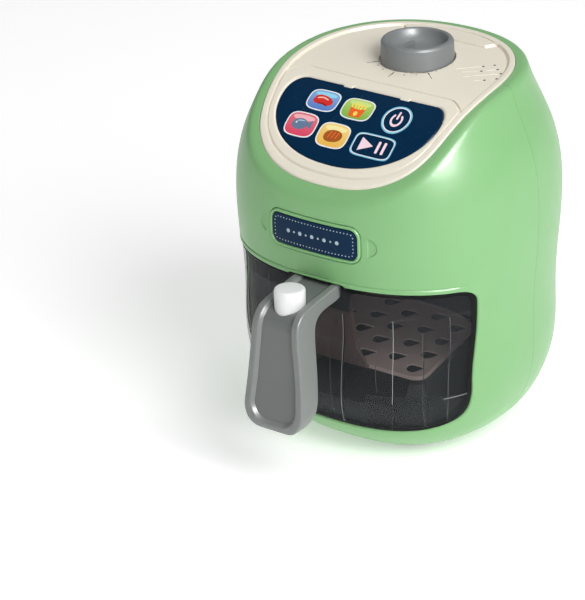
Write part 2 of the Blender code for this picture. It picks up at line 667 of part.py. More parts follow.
handle_bracket = box("handle_bracket", -15.0, 15.0, -62.9, -60.5, 79.0, 92.6)
cut(handle_bracket, box("lever_slot", -4.2, 4.2, -70, -55, 85.0, 95.0))
for sx in (-1, 1):
    cut(handle_bracket, turned("bracket_hole", [(0, -70), (1.3, -70), (1.3, -56), (0, -56)], 10, (sx * 10.7, 0, 89.4), axis="y"))
finish(handle_bracket, "pan_charcoal", 30)
for k, sx in enumerate((-1, 1)):
    finish(turned("handle_screw_%d" % (k + 1),
                  [(0, -70.0), (0.8, -69.4), (0.8, -60.2), (2.2, -60.2), (2.2, -59.5), (1.6, -59.2), (0, -59.2)], 12,
                  (sx * 10.7, 0, 89.4), axis="y"), "steel")

# release button: cap, with a stem down into the channel
release_button = turned("release_button", [(0, 84.0), (BUTTON_R, 84.0), (BUTTON_R, BUTTON_TOP - 1.5), (BUTTON_R - 0.4, BUTTON_TOP - 0.5),
                                            (BUTTON_R - 1.4, BUTTON_TOP), (0, BUTTON_TOP)], 24, (0, BUTTON_Y, 0))
# its underside clears the arm's floor behind, and the lever in the middle
cut(release_button, prism("arm_clearance", [(-84.5, 80.0), (-84.5, 86.4), (-70.0, 90.4), (-70.0, 80.0)], -12, 12, "x"))
cut(release_button, box("lever_clearance", -3.9, 3.9, -86.8, -70, 80, 90.2))
# the skirt goes lower at the front, where the channel's cover slopes away
skirt = turned("skirt", [(BUTTON_R - 0.9, 80.6), (BUTTON_R, 80.6), (BUTTON_R, 85.0), (BUTTON_R - 0.9, 85.0)], 24, (0, BUTTON_Y, 0))
join(release_button, keep(skirt, box("skirt_front", -12, 12, -100, -92.4, 70, 90)))
join(release_button, turned("stem", [(0, 82.6), (2.0, 82.6), (2.0, 85.0), (0, 85.0)], 12, (0, -89.5, 0)))
finish(release_button, "button_white", 35, (0, BUTTON_Y, BUTTON_TOP))

# catch lever: a rocker on the pin, pressed down at the front by the button, its tip rises behind the window
lever = prism("catch_lever", [(-59.8, 88.0), (-59.8, 90.2), (-60.8, 90.2), (-61.6, 88.7), (-74.6, 88.2), (-77.4, 88.0), (-81.0, 87.0),
                               (-87.2, 82.4), (-91.5, 82.2), (-91.5, 81.0), (-87.6, 81.2), (-81.8, 85.5), (-77.2, 86.0), (-74.8, 86.0), (-61.6, 87.4)], -3.2, 3.2, "x")
cut(lever, turned("lever_bore", [(0, -6), (0.7, -6), (0.7, 6), (0, 6)], 12, (0, py, pz), axis="x"))
finish(lever, "inner_plastic", 30, (0, py, pz))


def coil(name, centre, radius, wire, turns, z0, z1, per_turn=10, sides=5):
    """A helical spring with square-cut ends."""
    cx, cy = centre
    v, f = [], []
    count = int(turns * per_turn)
    pitch = (z1 - z0 - 2 * wire) / turns
    for i in range(count + 1):
        a = 2 * math.pi * i / per_turn
        z = z0 + wire + pitch * i / per_turn
        for k in range(sides):
            b = 2 * math.pi * k / sides
            r = radius + wire * math.cos(b)
            v.append((cx + r * math.cos(a), cy + r * math.sin(a), z + wire * math.sin(b)))
    for i in range(count):
        for k in range(sides):
            j = (k + 1) % sides
            f.append((i * sides + k, i * sides + j, (i + 1) * sides + j, (i + 1) * sides + k))
    f.append(tuple(range(sides)))
    f.append(tuple(count * sides + k for k in reversed(range(sides))))
    return make(name, v, f)


# the return spring stands in front of the lever on a shelf across the channel
button_spring = coil("button_spring", (0, -90.4), 1.6, 0.28, 3, 76.6, 80.7)
finish(button_spring, "steel", 60)
spring_seat = box("spring_seat", -8.7, 8.7, -93.2, -88.4, 74.6, 76.3)
finish(spring_seat, "handle_grey", 0)

# ---------------------------------------------------------------- cooking tray
TRAY_PLAN = [(44.6, -50), (46.6, -48), (35.8, 8), (34.2, 12), (31, 15.5), (20, 20.5), (8, 22.4), (-8, 22.4), (-20, 20.5), (-31, 15.5),
             (-34.2, 12), (-35.8, 8), (-46.6, -48), (-44.6, -50)]
tray = prism("fry_tray", TRAY_PLAN, TRAY_Z, TRAY_Z + TRAY_T, "z")
tongue = prism("tray_tongue", [(-47.0, TRAY_Z), (-51.5, TRAY_Z), (-58.0, 60.0), (-58.3, 87.4), (-56.5, 87.4), (-56.3, 60.6), (-50.6, TRAY_Z + TRAY_T), (-47.0, TRAY_Z + TRAY_T)],
               -17.5, 17.5, "x")
join(tray, tongue)


HOLE_WIDE = 1.65


def teardrop(x, y, r, length, turn, steps=7):
    """A wide drop shape with its point along the given direction."""
    out = []
    open_angle = math.acos(r / length)
    for k in range(steps + 1):
        a = open_angle + (2 * math.pi - 2 * open_angle) * k / steps
        out.append((r * math.cos(a), HOLE_WIDE * r * math.sin(a)))
    out.append((length, 0.0))
    c, s = math.cos(turn), math.sin(turn)
    return [(x + c * a - s * b, y + s * a + c * b) for a, b in out]


# staggered rows of drops, all pointing the same way
HOLE_FIRST = (35.9, -41.7)
HOLE_ROW = (-14.35, 0.9)
HOLE_COLUMN = (-2.85, 15.8)
HOLE_STAGGER = 5.5
HOLE_TURN = math.radians(37)
holes = []
for i in range(6):
    for j in range(4):
        hx = HOLE_FIRST[0] + i * HOLE_ROW[0] + j * HOLE_COLUMN[0]
        hy = HOLE_FIRST[1] + i * HOLE_ROW[1] + j * HOLE_COLUMN[1] + (HOLE_STAGGER if i % 2 else 0.0)
        half = float(np.interp(hy + 3.4 if hx > 0 else hy, [-48, 8, 22.4], [46.6, 35.8, 6.0]))
        if abs(hx) + (4.5 if hx > 0 else 2.8) < half - 1.2 and hy < 15.6:
            holes.append((hx, hy))
for hx, hy in holes:
    cut(tray, prism("drop", teardrop(hx, hy, 2.2, 5.6, HOLE_TURN), TRAY_Z - 3, TRAY_Z + TRAY_T + 3, "z"))
finish(tray, "tray_brown", 30)

# ---------------------------------------------------------------- dial
dial = turned("dial", [(0, 2.7), (9.0, 3.1), (11.8, 4.6), (13.4, 6.9), (14.5, DIAL_H - 0.1), (14.9, DIAL_H), (16.3, DIAL_H - 0.3), (17.0, DIAL_H - 1.3),
                        (DIAL_R + 0.2, -1.0), (DIAL_R + 0.2, -2.3), (16.3, -2.3), (16.1, 1.9), (4.4, 1.9), (4.4, 0.4), (0, 0.4)], 40, DIAL_BASE)
# pointer rib across the dish
POINTER = math.radians(270)
rib = []
for r, h in ((3.4, 2.3), (3.4, 8.2), (14.2, 8.2), (14.4, 5.0)):
    for w in (-1.35, 1.35):
        x = r * math.cos(POINTER) - w * math.sin(POINTER)
        y = r * math.sin(POINTER) + w * math.cos(POINTER)
        rib.append((DIAL_BASE[0] + x, DIAL_BASE[1] + y, DIAL_BASE[2] + h))
join(dial, make("rib", rib, [(0, 2, 4, 6), (7, 5, 3, 1), (0, 1, 3, 2), (2, 3, 5, 4), (4, 5, 7, 6), (6, 7, 1, 0)]))
finish(dial, "dial_grey", 35, DIAL_BASE)
dial_spindle = turned("dial_spindle", [(0, -8.5), (3.2, -8.5), (4.0, -7.7), (4.0, 0.0), (0, 0.0)], 20, DIAL_BASE)
finish(dial_spindle, "inner_plastic", 35, DIAL_BASE)
rotary_switch = turned("rotary_switch", [(0, -16.0), (8.5, -16.0), (8.5, -8.9), (0, -8.9)], 20, DIAL_BASE)
finish(rotary_switch, "speaker_black", 30)

# ---------------------------------------------------------------- electronics
touch_board = deck_sheet("touch_board", [(-34, -49), (36, -49), (40, -26), (-38, -26)], -6.6, -5.2, 6.5)
finish(touch_board, "board_green", 0)
main_board = box("main_board", -30, 30, -12, 32, 124.0, 125.6)
finish(main_board, "board_green", 0)
sound_chip = box("sound_chip", -8, 8, 2, 18, 125.9, 127.6)
finish(sound_chip, "speaker_black", 0)
spk = (36.0, 14.0, deck_height(14.0) - 5.6)
speaker = turned("speaker", [(0, -8.0), (6.0, -8.0), (6.0, -5.0), (12.5, -1.4), (14.0, -1.2), (14.0, 0.0), (12.6, 0.0), (11.4, -1.0), (5.0, -3.2), (0, -2.4)][::-1], 24, spk,
                 math.atan(0.075))
finish(speaker, "speaker_black", 40)
lamp_board = box("lamp_board", -8, 8, -16, 0, 112.4, 113.8)
finish(lamp_board, "board_green", 0)

# ---------------------------------------------------------------- batteries at the back
battery_box = box("battery_box", -25.2, 25.2, 46.0, 64.6, 46.0, 103.4)
cut(battery_box, box("battery_space", -23.8, 23.8, 47.4, 75, 47.4, 102.0))
finish(battery_box, "inner_plastic", 0)
for k, x in enumerate((-15.6, 0.0, 15.6)):
    finish(turned("battery_cell_%d" % (k + 1), [(0, 49.0), (6.9, 49.0), (7.1, 49.3), (7.1, 98.4), (2.6, 98.4), (2.6, 99.8), (0, 99.8)], 20, (x, 55.6, 0)),
           "cell_wrap", 30)
contact_low = box("contact_plate_low", -23.0, 23.0, 49.5, 62.0, 47.8, 48.5)
finish(contact_low, "steel", 0)
contact_high = box("contact_plate_high", -23.0, 23.0, 49.5, 62.0, 100.6, 101.3)
finish(contact_high, "steel", 0)
battery_door = inside_solid("battery_door", 0.3, 0, 30.0, 118.0)
cut(battery_door, inside_solid("door_hollow", 2.3, 0, 25.0, 125.0))
keep(battery_door, prism("door_outline", rounded(-DOOR_HALF + 0.4, DOOR_HALF - 0.4, DOOR_LOW + 0.4, DOOR_TOP - 0.4, 3.6, 3), 40, 100, "y"))
dz = DOOR_TOP - 5.2
dy = rear_y(0, dz)
cut(battery_door, turned("door_screw_hole", [(0, dy - 10), (1.4, dy - 10), (1.4, dy - 1.5), (2.8, dy - 1.5), (2.8, dy + 5), (0, dy + 5)], 14, (0, 0, dz), axis="y"))
finish(battery_door, "shell_green", 35)
finish(turned("door_screw", [(0, dy - 7.6), (1.0, dy - 7.0), (1.0, dy - 1.1), (2.4, dy - 1.1), (2.4, dy - 0.5), (0, dy - 0.5)], 12, (0, 0, dz), axis="y"), "steel")
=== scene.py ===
"""Looks of the toy air fryer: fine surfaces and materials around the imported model.

All lengths below are in millimetres in the object's own frame and are scaled to metres when a mesh is made.
"""
import bpy
import bmesh
import json
import math
import numpy as np
from mathutils import Matrix, Vector
from mathutils.geometry import delaunay_2d_cdt
from mathutils.kdtree import KDTree


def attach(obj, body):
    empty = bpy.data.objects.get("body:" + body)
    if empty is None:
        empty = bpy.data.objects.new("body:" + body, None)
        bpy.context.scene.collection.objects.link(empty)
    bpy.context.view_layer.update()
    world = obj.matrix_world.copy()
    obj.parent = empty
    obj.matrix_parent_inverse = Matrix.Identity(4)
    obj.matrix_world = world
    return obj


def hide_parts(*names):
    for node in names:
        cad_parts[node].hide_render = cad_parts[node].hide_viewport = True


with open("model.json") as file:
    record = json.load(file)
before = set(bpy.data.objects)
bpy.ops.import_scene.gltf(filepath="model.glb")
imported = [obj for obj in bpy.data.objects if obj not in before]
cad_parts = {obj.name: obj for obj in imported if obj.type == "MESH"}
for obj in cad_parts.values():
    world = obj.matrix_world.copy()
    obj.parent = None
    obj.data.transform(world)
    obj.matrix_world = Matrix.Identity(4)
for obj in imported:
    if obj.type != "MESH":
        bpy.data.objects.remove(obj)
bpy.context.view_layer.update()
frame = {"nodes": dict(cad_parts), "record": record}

MM = 0.001
Y_SHIFT = 13.14

# ---------------------------------------------------------------- the housing's surface, as in the construction
PROFILE = [(0.0, 37.5), (7.5, 51.5), (21.0, 64.0), (41.0, 70.9), (71.0, 71.6), (101.0, 73.4),
           (127.5, 73.66), (150.0, 68.8), (169.0, 60.67), (184.0, 55.8)]
REAR_POWER, REAR_DEPTH = 2.168, 1.0258
FRONT_POWER, FRONT_DEPTH = 2.4, 0.927
WALL = 2.2
BASE_Z = 3.0
SEAM_Y = 6.0
BEND_Z, BEND_Y, BEND_SOFT, SLOPE_REAR, SLOPE_FRONT = 168.12, -24.9, 20.05, 0.026, 0.991
RIM_ROUND = 2.5
RIM_INSET = 5.1
OPEN_EDGE = [(0.0, 18.2), (20.0, 18.2), (33.0, 18.4), (44.0, 19.5), (50.0, 21.1), (54.0, 22.8), (57.4, 25.0), (60.2, 28.2), (62.2, 32.2),
             (63.7, 37.4), (64.6, 44.0), (65.4, 60.0), (66.0, 76.0), (66.4, 85.5), (66.2, 88.6), (65.0, 91.0), (62.6, 92.2), (58.0, 92.4),
             (30.0, 92.4), (15.9, 92.4), (15.4, 92.8), (15.1, 93.3), (0.0, 93.4)]
DIAL_X, DIAL_Y = 1.2, 14.4
DIAL_SEAT = 0.9
MID, HIGH = -0.35, 0.35


def spline_table():
    x = np.array([p[0] for p in PROFILE])
    y = np.array([p[1] for p in PROFILE])
    h = np.diff(x)
    n = len(x)
    a = np.zeros((n, n))
    b = np.zeros(n)
    a[0, 0] = a[-1, -1] = 1.0
    for i in range(1, n - 1):
        a[i, i - 1], a[i, i], a[i, i + 1] = h[i - 1], 2 * (h[i - 1] + h[i]), h[i]
        b[i] = 6 * ((y[i + 1] - y[i]) / h[i] - (y[i] - y[i - 1]) / h[i - 1])
    m = np.linalg.solve(a, b)
    z = np.linspace(0, 186, 3721)
    i = np.clip(np.searchsorted(x, z) - 1, 0, n - 2)
    t = z - x[i]
    c1 = (y[i + 1] - y[i]) / h[i] - h[i] * (2 * m[i] + m[i + 1]) / 6
    w = y[i] + t * (c1 + t * (m[i] / 2 + t * (m[i + 1] - m[i]) / (6 * h[i])))
    return z, w


Z_TAB, W_TAB = spline_table()
D_TAB = np.gradient(W_TAB, Z_TAB)
S_TAB = np.concatenate([[0], np.cumsum(np.hypot(np.diff(W_TAB), np.diff(Z_TAB)))])


def width_at(z):
    return np.interp(z, Z_TAB, W_TAB)


def stretch_at(z):
    return np.sqrt(1 + np.interp(z, Z_TAB, D_TAB) ** 2)


def arc_of(z):
    return np.interp(z, Z_TAB, S_TAB)


def z_of(s):
    return np.interp(s, S_TAB, Z_TAB)


def section(theta):
    s, c = np.sin(theta), -np.cos(theta)
    front = c < 0
    p = np.where(front, FRONT_POWER, REAR_POWER)
    d = np.where(front, FRONT_DEPTH, REAR_DEPTH)
    k = (np.abs(s) ** p + np.abs(c / d) ** p) ** (-1.0 / p)
    return k * s, k * c


def wall(theta, z, inset=0.0):
    theta, z = np.asarray(theta, float), np.asarray(z, float)
    r = width_at(z) - inset * stretch_at(z) - 0.045
    sx, sy = section(theta)
    return np.stack([r * sx, r * sy, z + 0 * r], -1)


def theta_front(x, z, inset=0.0):
    """Angle on the front at which the wall has a given x."""
    x = np.asarray(x, float)
    q = np.clip(x / (width_at(z) - inset * stretch_at(z)), -0.9999, 0.9999)
    return np.arctan2(q, FRONT_DEPTH * (1 - np.abs(q) ** FRONT_POWER) ** (1 / FRONT_POWER))


def theta_rear(x, z):
    """Angle on the back, measured from straight back, at which the wall has a given x."""
    x = np.asarray(x, float)
    q = np.clip(x / width_at(z), -0.9999, 0.9999)
    return np.arctan2(q, REAR_DEPTH * (1 - np.abs(q) ** REAR_POWER) ** (1 / REAR_POWER))


def theta_seam(z, y):
    """Angle from straight ahead at which the right-hand wall is at depth y behind the middle."""
    q = y / width_at(z)
    x = (1 - (q / REAR_DEPTH) ** REAR_POWER) ** (1 / REAR_POWER)
    return np.arctan2(x, -q)


def deck_height(y):
    t = np.asarray(y, float) - BEND_Y
    return (BEND_Z + 0.5 * (SLOPE_REAR + SLOPE_FRONT) * t
            + 0.5 * (SLOPE_REAR - SLOPE_FRONT) * (np.sqrt(t * t + BEND_SOFT ** 2) - BEND_SOFT))


def rim_z(theta):
    """Height at which the side meets the deck's surface."""
    theta = np.asarray(theta, float)
    lo, hi = np.full(theta.shape, 90.0), np.full(theta.shape, 183.0)
    for _ in range(40):
        mid = (lo + hi) / 2
        under = mid < deck_height(wall(theta, mid)[..., 1])
        lo, hi = np.where(under, mid, lo), np.where(under, hi, mid)
    return (lo + hi) / 2


RIM_T = np.linspace(-math.pi, math.pi, 1441)
RIM_P = wall(RIM_T, rim_z(RIM_T))
RIM_TAN = np.gradient(RIM_P[:, :2], axis=0)
RIM_TAN[0] = RIM_TAN[-1] = (RIM_TAN[1] + RIM_TAN[-2]) / 2
RIM_TAN /= np.linalg.norm(RIM_TAN, axis=1)[:, None]


def rim_plan(theta, distance):
    """Plan position of the rim moved inwards."""
    t = (np.asarray(theta, float) + math.pi) % (2 * math.pi) - math.pi
    p = np.stack([np.interp(t, RIM_T, RIM_P[:, k]) for k in range(2)], -1)
    n = np.stack([np.interp(t, RIM_T, -RIM_TAN[:, 1]), np.interp(t, RIM_T, RIM_TAN[:, 0])], -1)
    return p + n * np.asarray(distance)[..., None]


# ---------------------------------------------------------------- outlines in a plane
def rounded(x0, x1, y0, y1, low, high=None, steps=12):
    high = low if high is None else high
    out = []
    for cx, cy, r, a0 in ((x1 - low, y0 + low, low, -90), (x1 - high, y1 - high, high, 0),
                          (x0 + high, y1 - high, high, 90), (x0 + low, y0 + low, low, 180)):
        for k in range(steps + 1):
            a = math.radians(a0 + 90 * k / steps)
            out.append((cx + r * math.cos(a), cy + r * math.sin(a)))
    return np.array(out)


def circle(cx, cy, r, n=64):
    a = np.linspace(0, 2 * math.pi, n, endpoint=False)
    return np.stack([cx + r * np.cos(a), cy + r * np.sin(a)], -1)


def resample(poly, step, closed=True):
    p = np.vstack([poly, poly[:1]]) if closed else np.asarray(poly, float)
    seg = np.linalg.norm(np.diff(p, axis=0), axis=1)
    keep = np.concatenate([[True], seg > 1e-9])
    p = p[keep]
    seg = np.linalg.norm(np.diff(p, axis=0), axis=1)
    s = np.concatenate([[0], np.cumsum(seg)])
    n = max(3 if closed else 1, int(round(s[-1] / step)))
    t = np.linspace(0, s[-1], n + 1)
    if closed:
        t = t[:-1]
    return np.stack([np.interp(t, s, p[:, k]) for k in range(2)], -1)


def offset(poly, d):
    """A closed anticlockwise outline moved outwards."""
    p = np.asarray(poly, float)
    t = np.roll(p, -1, 0) - np.roll(p, 1, 0)
    t /= np.linalg.norm(t, axis=1)[:, None]
    return p + np.stack([t[:, 1], -t[:, 0]], -1) * d


def offset_line(line, d):
    """An open line moved to its left."""
    p = np.asarray(line, float)
    t = np.gradient(p, axis=0)
    t /= np.linalg.norm(t, axis=1)[:, None]
    return p + np.stack([-t[:, 1], t[:, 0]], -1) * d


def catmull(points, per=10, closed=False):
    p = np.asarray(points, float)
    n = len(p)
    out = []
    for i in range(n if closed else n - 1):
        if closed:
            a, b, c, d = p[i - 1], p[i], p[(i + 1) % n], p[(i + 2) % n]
        else:
            b, c = p[i], p[i + 1]
            a = p[i - 1] if i else 2 * b - c
            d = p[i + 2] if i + 2 < n else 2 * c - b
        for k in range(per):
            t = k / per
            out.append(0.5 * (2 * b + (c - a) * t + (2 * a - 5 * b + 4 * c - d) * t * t + (3 * b - a - 3 * c + d) * t ** 3))
    if not closed:
        out.append(p[-1])
    return np.array(out)


def inside(poly, pts):
    """Which points lie inside a closed outline."""
    x, y = pts[:, 0], pts[:, 1]
    hit = np.zeros(len(pts), bool)
    a, b = np.asarray(poly), np.roll(poly, -1, 0)
    for (ax, ay), (bx, by) in zip(a, b):
        if ay == by:
            continue
        cross = (ay > y) != (by > y)
        hit ^= cross & (x < (bx - ax) * (y - ay) / (by - ay) + ax)
    return hit


def distance(poly, pts, closed=True):
    """Unsigned distance from points to a line or outline."""
    poly = np.asarray(poly, float)
    n = len(poly)
    tree = KDTree(n)
    for i, q in enumerate(poly):
        tree.insert((q[0], q[1], 0), i)
    tree.balance()
    near = np.array([tree.find((p[0], p[1], 0))[1] for p in pts], int)
    best = np.full(len(pts), 1e9)
    for step in (-1, 0):
        i, j = near + step, near + step + 1
        if closed:
            i, j = i % n, j % n
        else:
            i, j = np.clip(i, 0, n - 1), np.clip(j, 0, n - 1)
        a, b = poly[i], poly[j]
        ab = b - a
        length = (ab * ab).sum(1)
        t = np.clip(((pts - a) * ab).sum(1) / np.where(length > 0, length, 1), 0, 1)
        best = np.minimum(best, np.linalg.norm(pts - a - ab * t[:, None], axis=1))
    return best


def signed(poly, pts):
    """Distance to an outline, negative inside."""
    d = distance(poly, pts)
    return np.where(inside(poly, pts), -d, d)


def mesh_plane(outer, holes=(), closed_lines=(), open_lines=(), h=2.5, fine=0.6):
    """Triangles over a region of the plane, small near the given lines and larger away from them.
    Returns points, triangles, and the point numbers of the outer outline and of each hole."""
    pts, edges, loops = [], [], []

    def put(poly, closed):
        first = len(pts)
        pts.extend(map(tuple, poly))
        n = len(poly)
        edges.extend((first + i, first + (i + 1) % n) for i in range(n if closed else n - 1))
        return np.arange(first, first + n)

    loops.append(put(outer, True))
    for q in holes:
        loops.append(put(q, True))
    for q in closed_lines:
        put(q, True)
    for q in open_lines:
        put(q, False)
    lines = np.array(pts)
    lo, hi = np.min(outer, 0), np.max(outer, 0)
    level = max(0, int(round(math.log2(h / fine))))
    g = h / 2 ** level
    nx, ny = int((hi[0] - lo[0]) / g) + 1, int((hi[1] - lo[1]) / g) + 1
    # distance to the lines on a coarse grid, enough to choose the spacing
    tree = KDTree(len(lines))
    for i, q in enumerate(lines):
        tree.insert((q[0], q[1], 0), i)
    tree.balance()
    chosen = []
    for lev in range(level, -1, -1):
        k = 2 ** lev
        ix, iy = np.meshgrid(np.arange(0, nx, k), np.arange(0, ny, k), indexing="ij")
        if lev < level:
            fresh = (ix % (2 * k) != 0) | (iy % (2 * k) != 0)
            ix, iy = ix[fresh], iy[fresh]
        q = np.stack([lo[0] + (ix.ravel() + 0.37) * g, lo[1] + (iy.ravel() + 0.41) * g], -1)
        if lev < level:
            # only near the lines
            d = np.array([tree.find((a, b, 0))[2] for a, b in q]) if len(q) < 400000 else None
            reach = 2.4 * g * k * 2
            keep = (d < reach) & (d > 0.55 * g * k)
        else:
            d = np.array([tree.find((a, b, 0))[2] for a, b in q])
            keep = d > 0.45 * g * k
        chosen.append(q[keep])
    q = np.vstack(chosen)
    ok = inside(outer, q)
    for hole in holes:
        ok &= ~inside(hole, q)
    q = q[ok]
    all_pts = [Vector(p) for p in pts] + [Vector(p) for p in q]
    out, _, tris, back, _, _ = delaunay_2d_cdt(all_pts, edges, [], 0, 1e-7, True)
    where = {}
    for new, olds in enumerate(back):
        for o in olds:
            where[o] = new
    P = np.array([(v[0], v[1]) for v in out])
    T = np.array(tris)
    c = P[T].mean(1)
    ok = inside(outer, c)
    for hole in holes:
        ok &= ~inside(hole, c)
    T = T[ok]
    return P, T, [np.array([where[i] for i in loop]) for loop in loops]


# ---------------------------------------------------------------- meshes
def add_mesh(name, verts, faces, smooth=35.0, shift=True):
    mesh = bpy.data.meshes.new(name)
    v = np.asarray(verts, float) * MM
    if shift:
        v = v + np.array([0, Y_SHIFT * MM, 0])
    mesh.from_pydata(v.tolist(), [], [tuple(map(int, f)) for f in faces])
    bm = bmesh.new()
    bm.from_mesh(mesh)
    loose = [q for q in bm.verts if not q.link_faces]
    bmesh.ops.delete(bm, geom=loose, context="VERTS")
    bmesh.ops.remove_doubles(bm, verts=bm.verts[:], dist=0.0000005)
    bmesh.ops.recalc_face_normals(bm, faces=bm.faces[:])
    bm.to_mesh(mesh)
    bm.free()
    if smooth:
        mesh.shade_smooth()
        mesh.set_sharp_from_angle(angle=math.radians(smooth))
    ob = bpy.data.objects.new(name, mesh)
    bpy.context.scene.collection.objects.link(ob)
    return ob


def solid_sheet(name, P, T, loops, top, bottom, rows=None, smooth=35.0):
    """A closed sheet: points mapped to a top and a bottom surface and joined along the outlines.
    rows(k) may give in-between rows for outline k as a list of arrays."""
    n = len(P)
    verts = [top, bottom]
    faces = [tuple(t) for t in T] + [(t[0] + n, t[2] + n, t[1] + n) for t in T]
    count = 2 * n
    for k, loop in enumerate(loops):
        chain = [loop]
        for row in (rows(k) if rows else []):
            verts.append(row)
            chain.append(np.arange(count, count + len(loop)))
            count += len(loop)
        chain.append(loop + n)
        m = len(loop)
        for a, b in zip(chain, chain[1:]):
            faces.extend((a[i], a[(i + 1) % m], b[(i + 1) % m], b[i]) for i in range(m))
    return add_mesh(name, np.vstack(verts), faces, smooth)


def grid_solid(name, rows, closed_rows=False, smooth=35.0):
    """A surface through rows of points; each row is a closed loop. Ends are capped unless the rows close up."""
    m = len(rows[0])
    verts = np.vstack(rows)
    faces = []
    n = len(rows)
    for k in range(n if closed_rows else n - 1):
        a, b = k * m, ((k + 1) % n) * m
        faces.extend((a + i, a + (i + 1) % m, b + (i + 1) % m, b + i) for i in range(m))
    if not closed_rows:
        faces.append(tuple(range(m)))
        faces.append(tuple(range((n - 1) * m, n * m))[::-1])
    return add_mesh(name, verts, faces, smooth)


def lathe(name, outline, centre, tilt=0.0, seg=128, axis="z", smooth=30.0):
    """A profile of (radius, height) turned about an axis; it starts and ends at radius 0 or closes on itself."""
    ct, st = math.cos(tilt), math.sin(tilt)
    a = np.linspace(0, 2 * math.pi, seg, endpoint=False)
    verts, rows = [], []

    def place(x, y, z):
        if axis == "y":
            x, y, z = x, z, y
        elif axis == "x":
            x, y, z = z, x, y
        return (centre[0] + x, centre[1] + y * ct - z * st, centre[2] + y * st + z * ct)

    for r, hgt in outline:
        if r < 1e-6:
            rows.append([len(verts)])
            verts.append(place(0, 0, hgt))
        else:
            rows.append(list(range(len(verts), len(verts) + seg)))
            verts.extend(place(r * math.cos(q), r * math.sin(q), hgt) for q in a)
    faces = []
    whole = len(rows[0]) == 1
    for k in range(len(rows) - 1 if whole else len(rows)):
        p, q = rows[k], rows[(k + 1) % len(rows)]
        for i in range(seg):
            j = (i + 1) % seg
            if len(p) == 1 and len(q) == 1:
                continue
            if len(p) == 1:
                faces.append((p[0], q[j], q[i]))
            elif len(q) == 1:
                faces.append((p[i], p[j], q[0]))
            else:
                faces.append((p[i], p[j], q[j], q[i]))
    return add_mesh(name, verts, faces, smooth)


def fillet(outline, radii, steps=6):
    """Rounds the corners of an open profile; radii gives one radius per inner corner."""
    p = np.asarray(outline, float)
    out = [tuple(p[0])]
    for i in range(1, len(p) - 1):
        r = radii[i - 1]
        a, b, c = p[i - 1], p[i], p[i + 1]
        u, v = (a - b) / np.linalg.norm(a - b), (c - b) / np.linalg.norm(c - b)
        angle = math.acos(max(-1, min(1, float(u @ v))))
        if r <= 0 or angle > 3.1:
            out.append(tuple(b))
            continue
        cut = min(r / math.tan(angle / 2), 0.49 * np.linalg.norm(a - b), 0.49 * np.linalg.norm(c - b))
        s, e = b + u * cut, b + v * cut
        for k in range(steps + 1):
            t = k / steps
            out.append(tuple((1 - t) ** 2 * s + 2 * t * (1 - t) * b + t * t * e))
    out.append(tuple(p[-1]))
    return out


def surface_net(name, f, lo, hi, h, smooth=40.0, tidy=3):
    """Mesh of the surface where f is zero, negative inside. f takes arrays x, y, z in mm."""
    lo, hi = np.array(lo, float), np.array(hi, float)
    dims = np.ceil((hi - lo) / h).astype(int) + 1
    ax = [lo[k] + h * np.arange(dims[k]) for k in range(3)]
    X, Y, Z = np.meshgrid(*ax, indexing="ij", sparse=True)
    V = np.broadcast_to(f(X, Y, Z), tuple(dims)).astype(np.float32)
    V = np.where(V == 0, 1e-6, V)
    inner = V < 0
    c = [slice(0, -1), slice(1, None)]
    count = np.zeros(tuple(dims - 1), np.int16)
    pos = [np.zeros(tuple(dims - 1), np.float32) for _ in range(3)]
    for axis in range(3):
        others = [k for k in range(3) if k != axis]
        for p in (0, 1):
            for q in (0, 1):
                sa, sb = [None] * 3, [None] * 3
                sa[axis], sb[axis] = c[0], c[1]
                sa[others[0]] = sb[others[0]] = c[p]
                sa[others[1]] = sb[others[1]] = c[q]
                va, vb = V[tuple(sa)], V[tuple(sb)]
                cross = (va < 0) != (vb < 0)
                t = np.where(cross, va / np.where(cross, va - vb, 1), 0)
                count += cross
                pos[axis] += np.where(cross, t, 0)
                pos[others[0]] += np.where(cross, p, 0)
                pos[others[1]] += np.where(cross, q, 0)
    used = count > 0
    idx = np.full(used.shape, -1, np.int64)
    idx[used] = np.arange(used.sum())
    where = np.argwhere(used)
    verts = np.stack([lo[k] + h * (where[:, k] + (pos[k][used] / count[used])) for k in range(3)], -1)
    faces = []
    for axis in range(3):
        o1, o2 = [(1, 2), (2, 0), (0, 1)][axis]
        sa, sb = [slice(None)] * 3, [slice(None)] * 3
        sa[axis], sb[axis] = slice(0, -1), slice(1, None)
        a, b = inner[tuple(sa)], inner[tuple(sb)]
        sel = np.argwhere(a != b)
        ok = (sel[:, o1] > 0) & (sel[:, o2] > 0) & (sel[:, o1] < dims[o1] - 1) & (sel[:, o2] < dims[o2] - 1)
        sel = sel[ok]
        flip = b[tuple(sel.T)]
        quad = []
        for d1, d2 in ((-1, -1), (0, -1), (0, 0), (-1, 0)):
            s = sel.copy()
            s[:, o1] += d1
            s[:, o2] += d2
            quad.append(idx[tuple(s.T)])
        quad = np.stack(quad, -1)
        quad[flip] = quad[flip][:, ::-1]
        faces.append(quad)
    faces = np.vstack(faces)
    e = 0.02

    def at(p):
        return f(p[:, 0], p[:, 1], p[:, 2])

    for _ in range(tidy):
        value = at(verts)
        grad = np.stack([(at(verts + e * np.eye(3)[k]) - at(verts - e * np.eye(3)[k])) / (2 * e) for k in range(3)], -1)
        g2 = np.maximum((grad * grad).sum(1), 0.2)
        step = -value / g2
        step = np.clip(step, -0.35 * h, 0.35 * h)
        verts = verts + grad * step[:, None]
    return add_mesh(name, verts, faces, smooth)


def inter_round(a, b, r):
    return np.minimum(-r, np.maximum(a, b)) + np.hypot(np.maximum(r + a, 0), np.maximum(r + b, 0))


def union_round(a, b, r):
    return np.maximum(r, np.minimum(a, b)) - np.hypot(np.maximum(r - a, 0), np.maximum(r - b, 0))


def cut_round(a, b, r):
    return inter_round(a, -b, r)


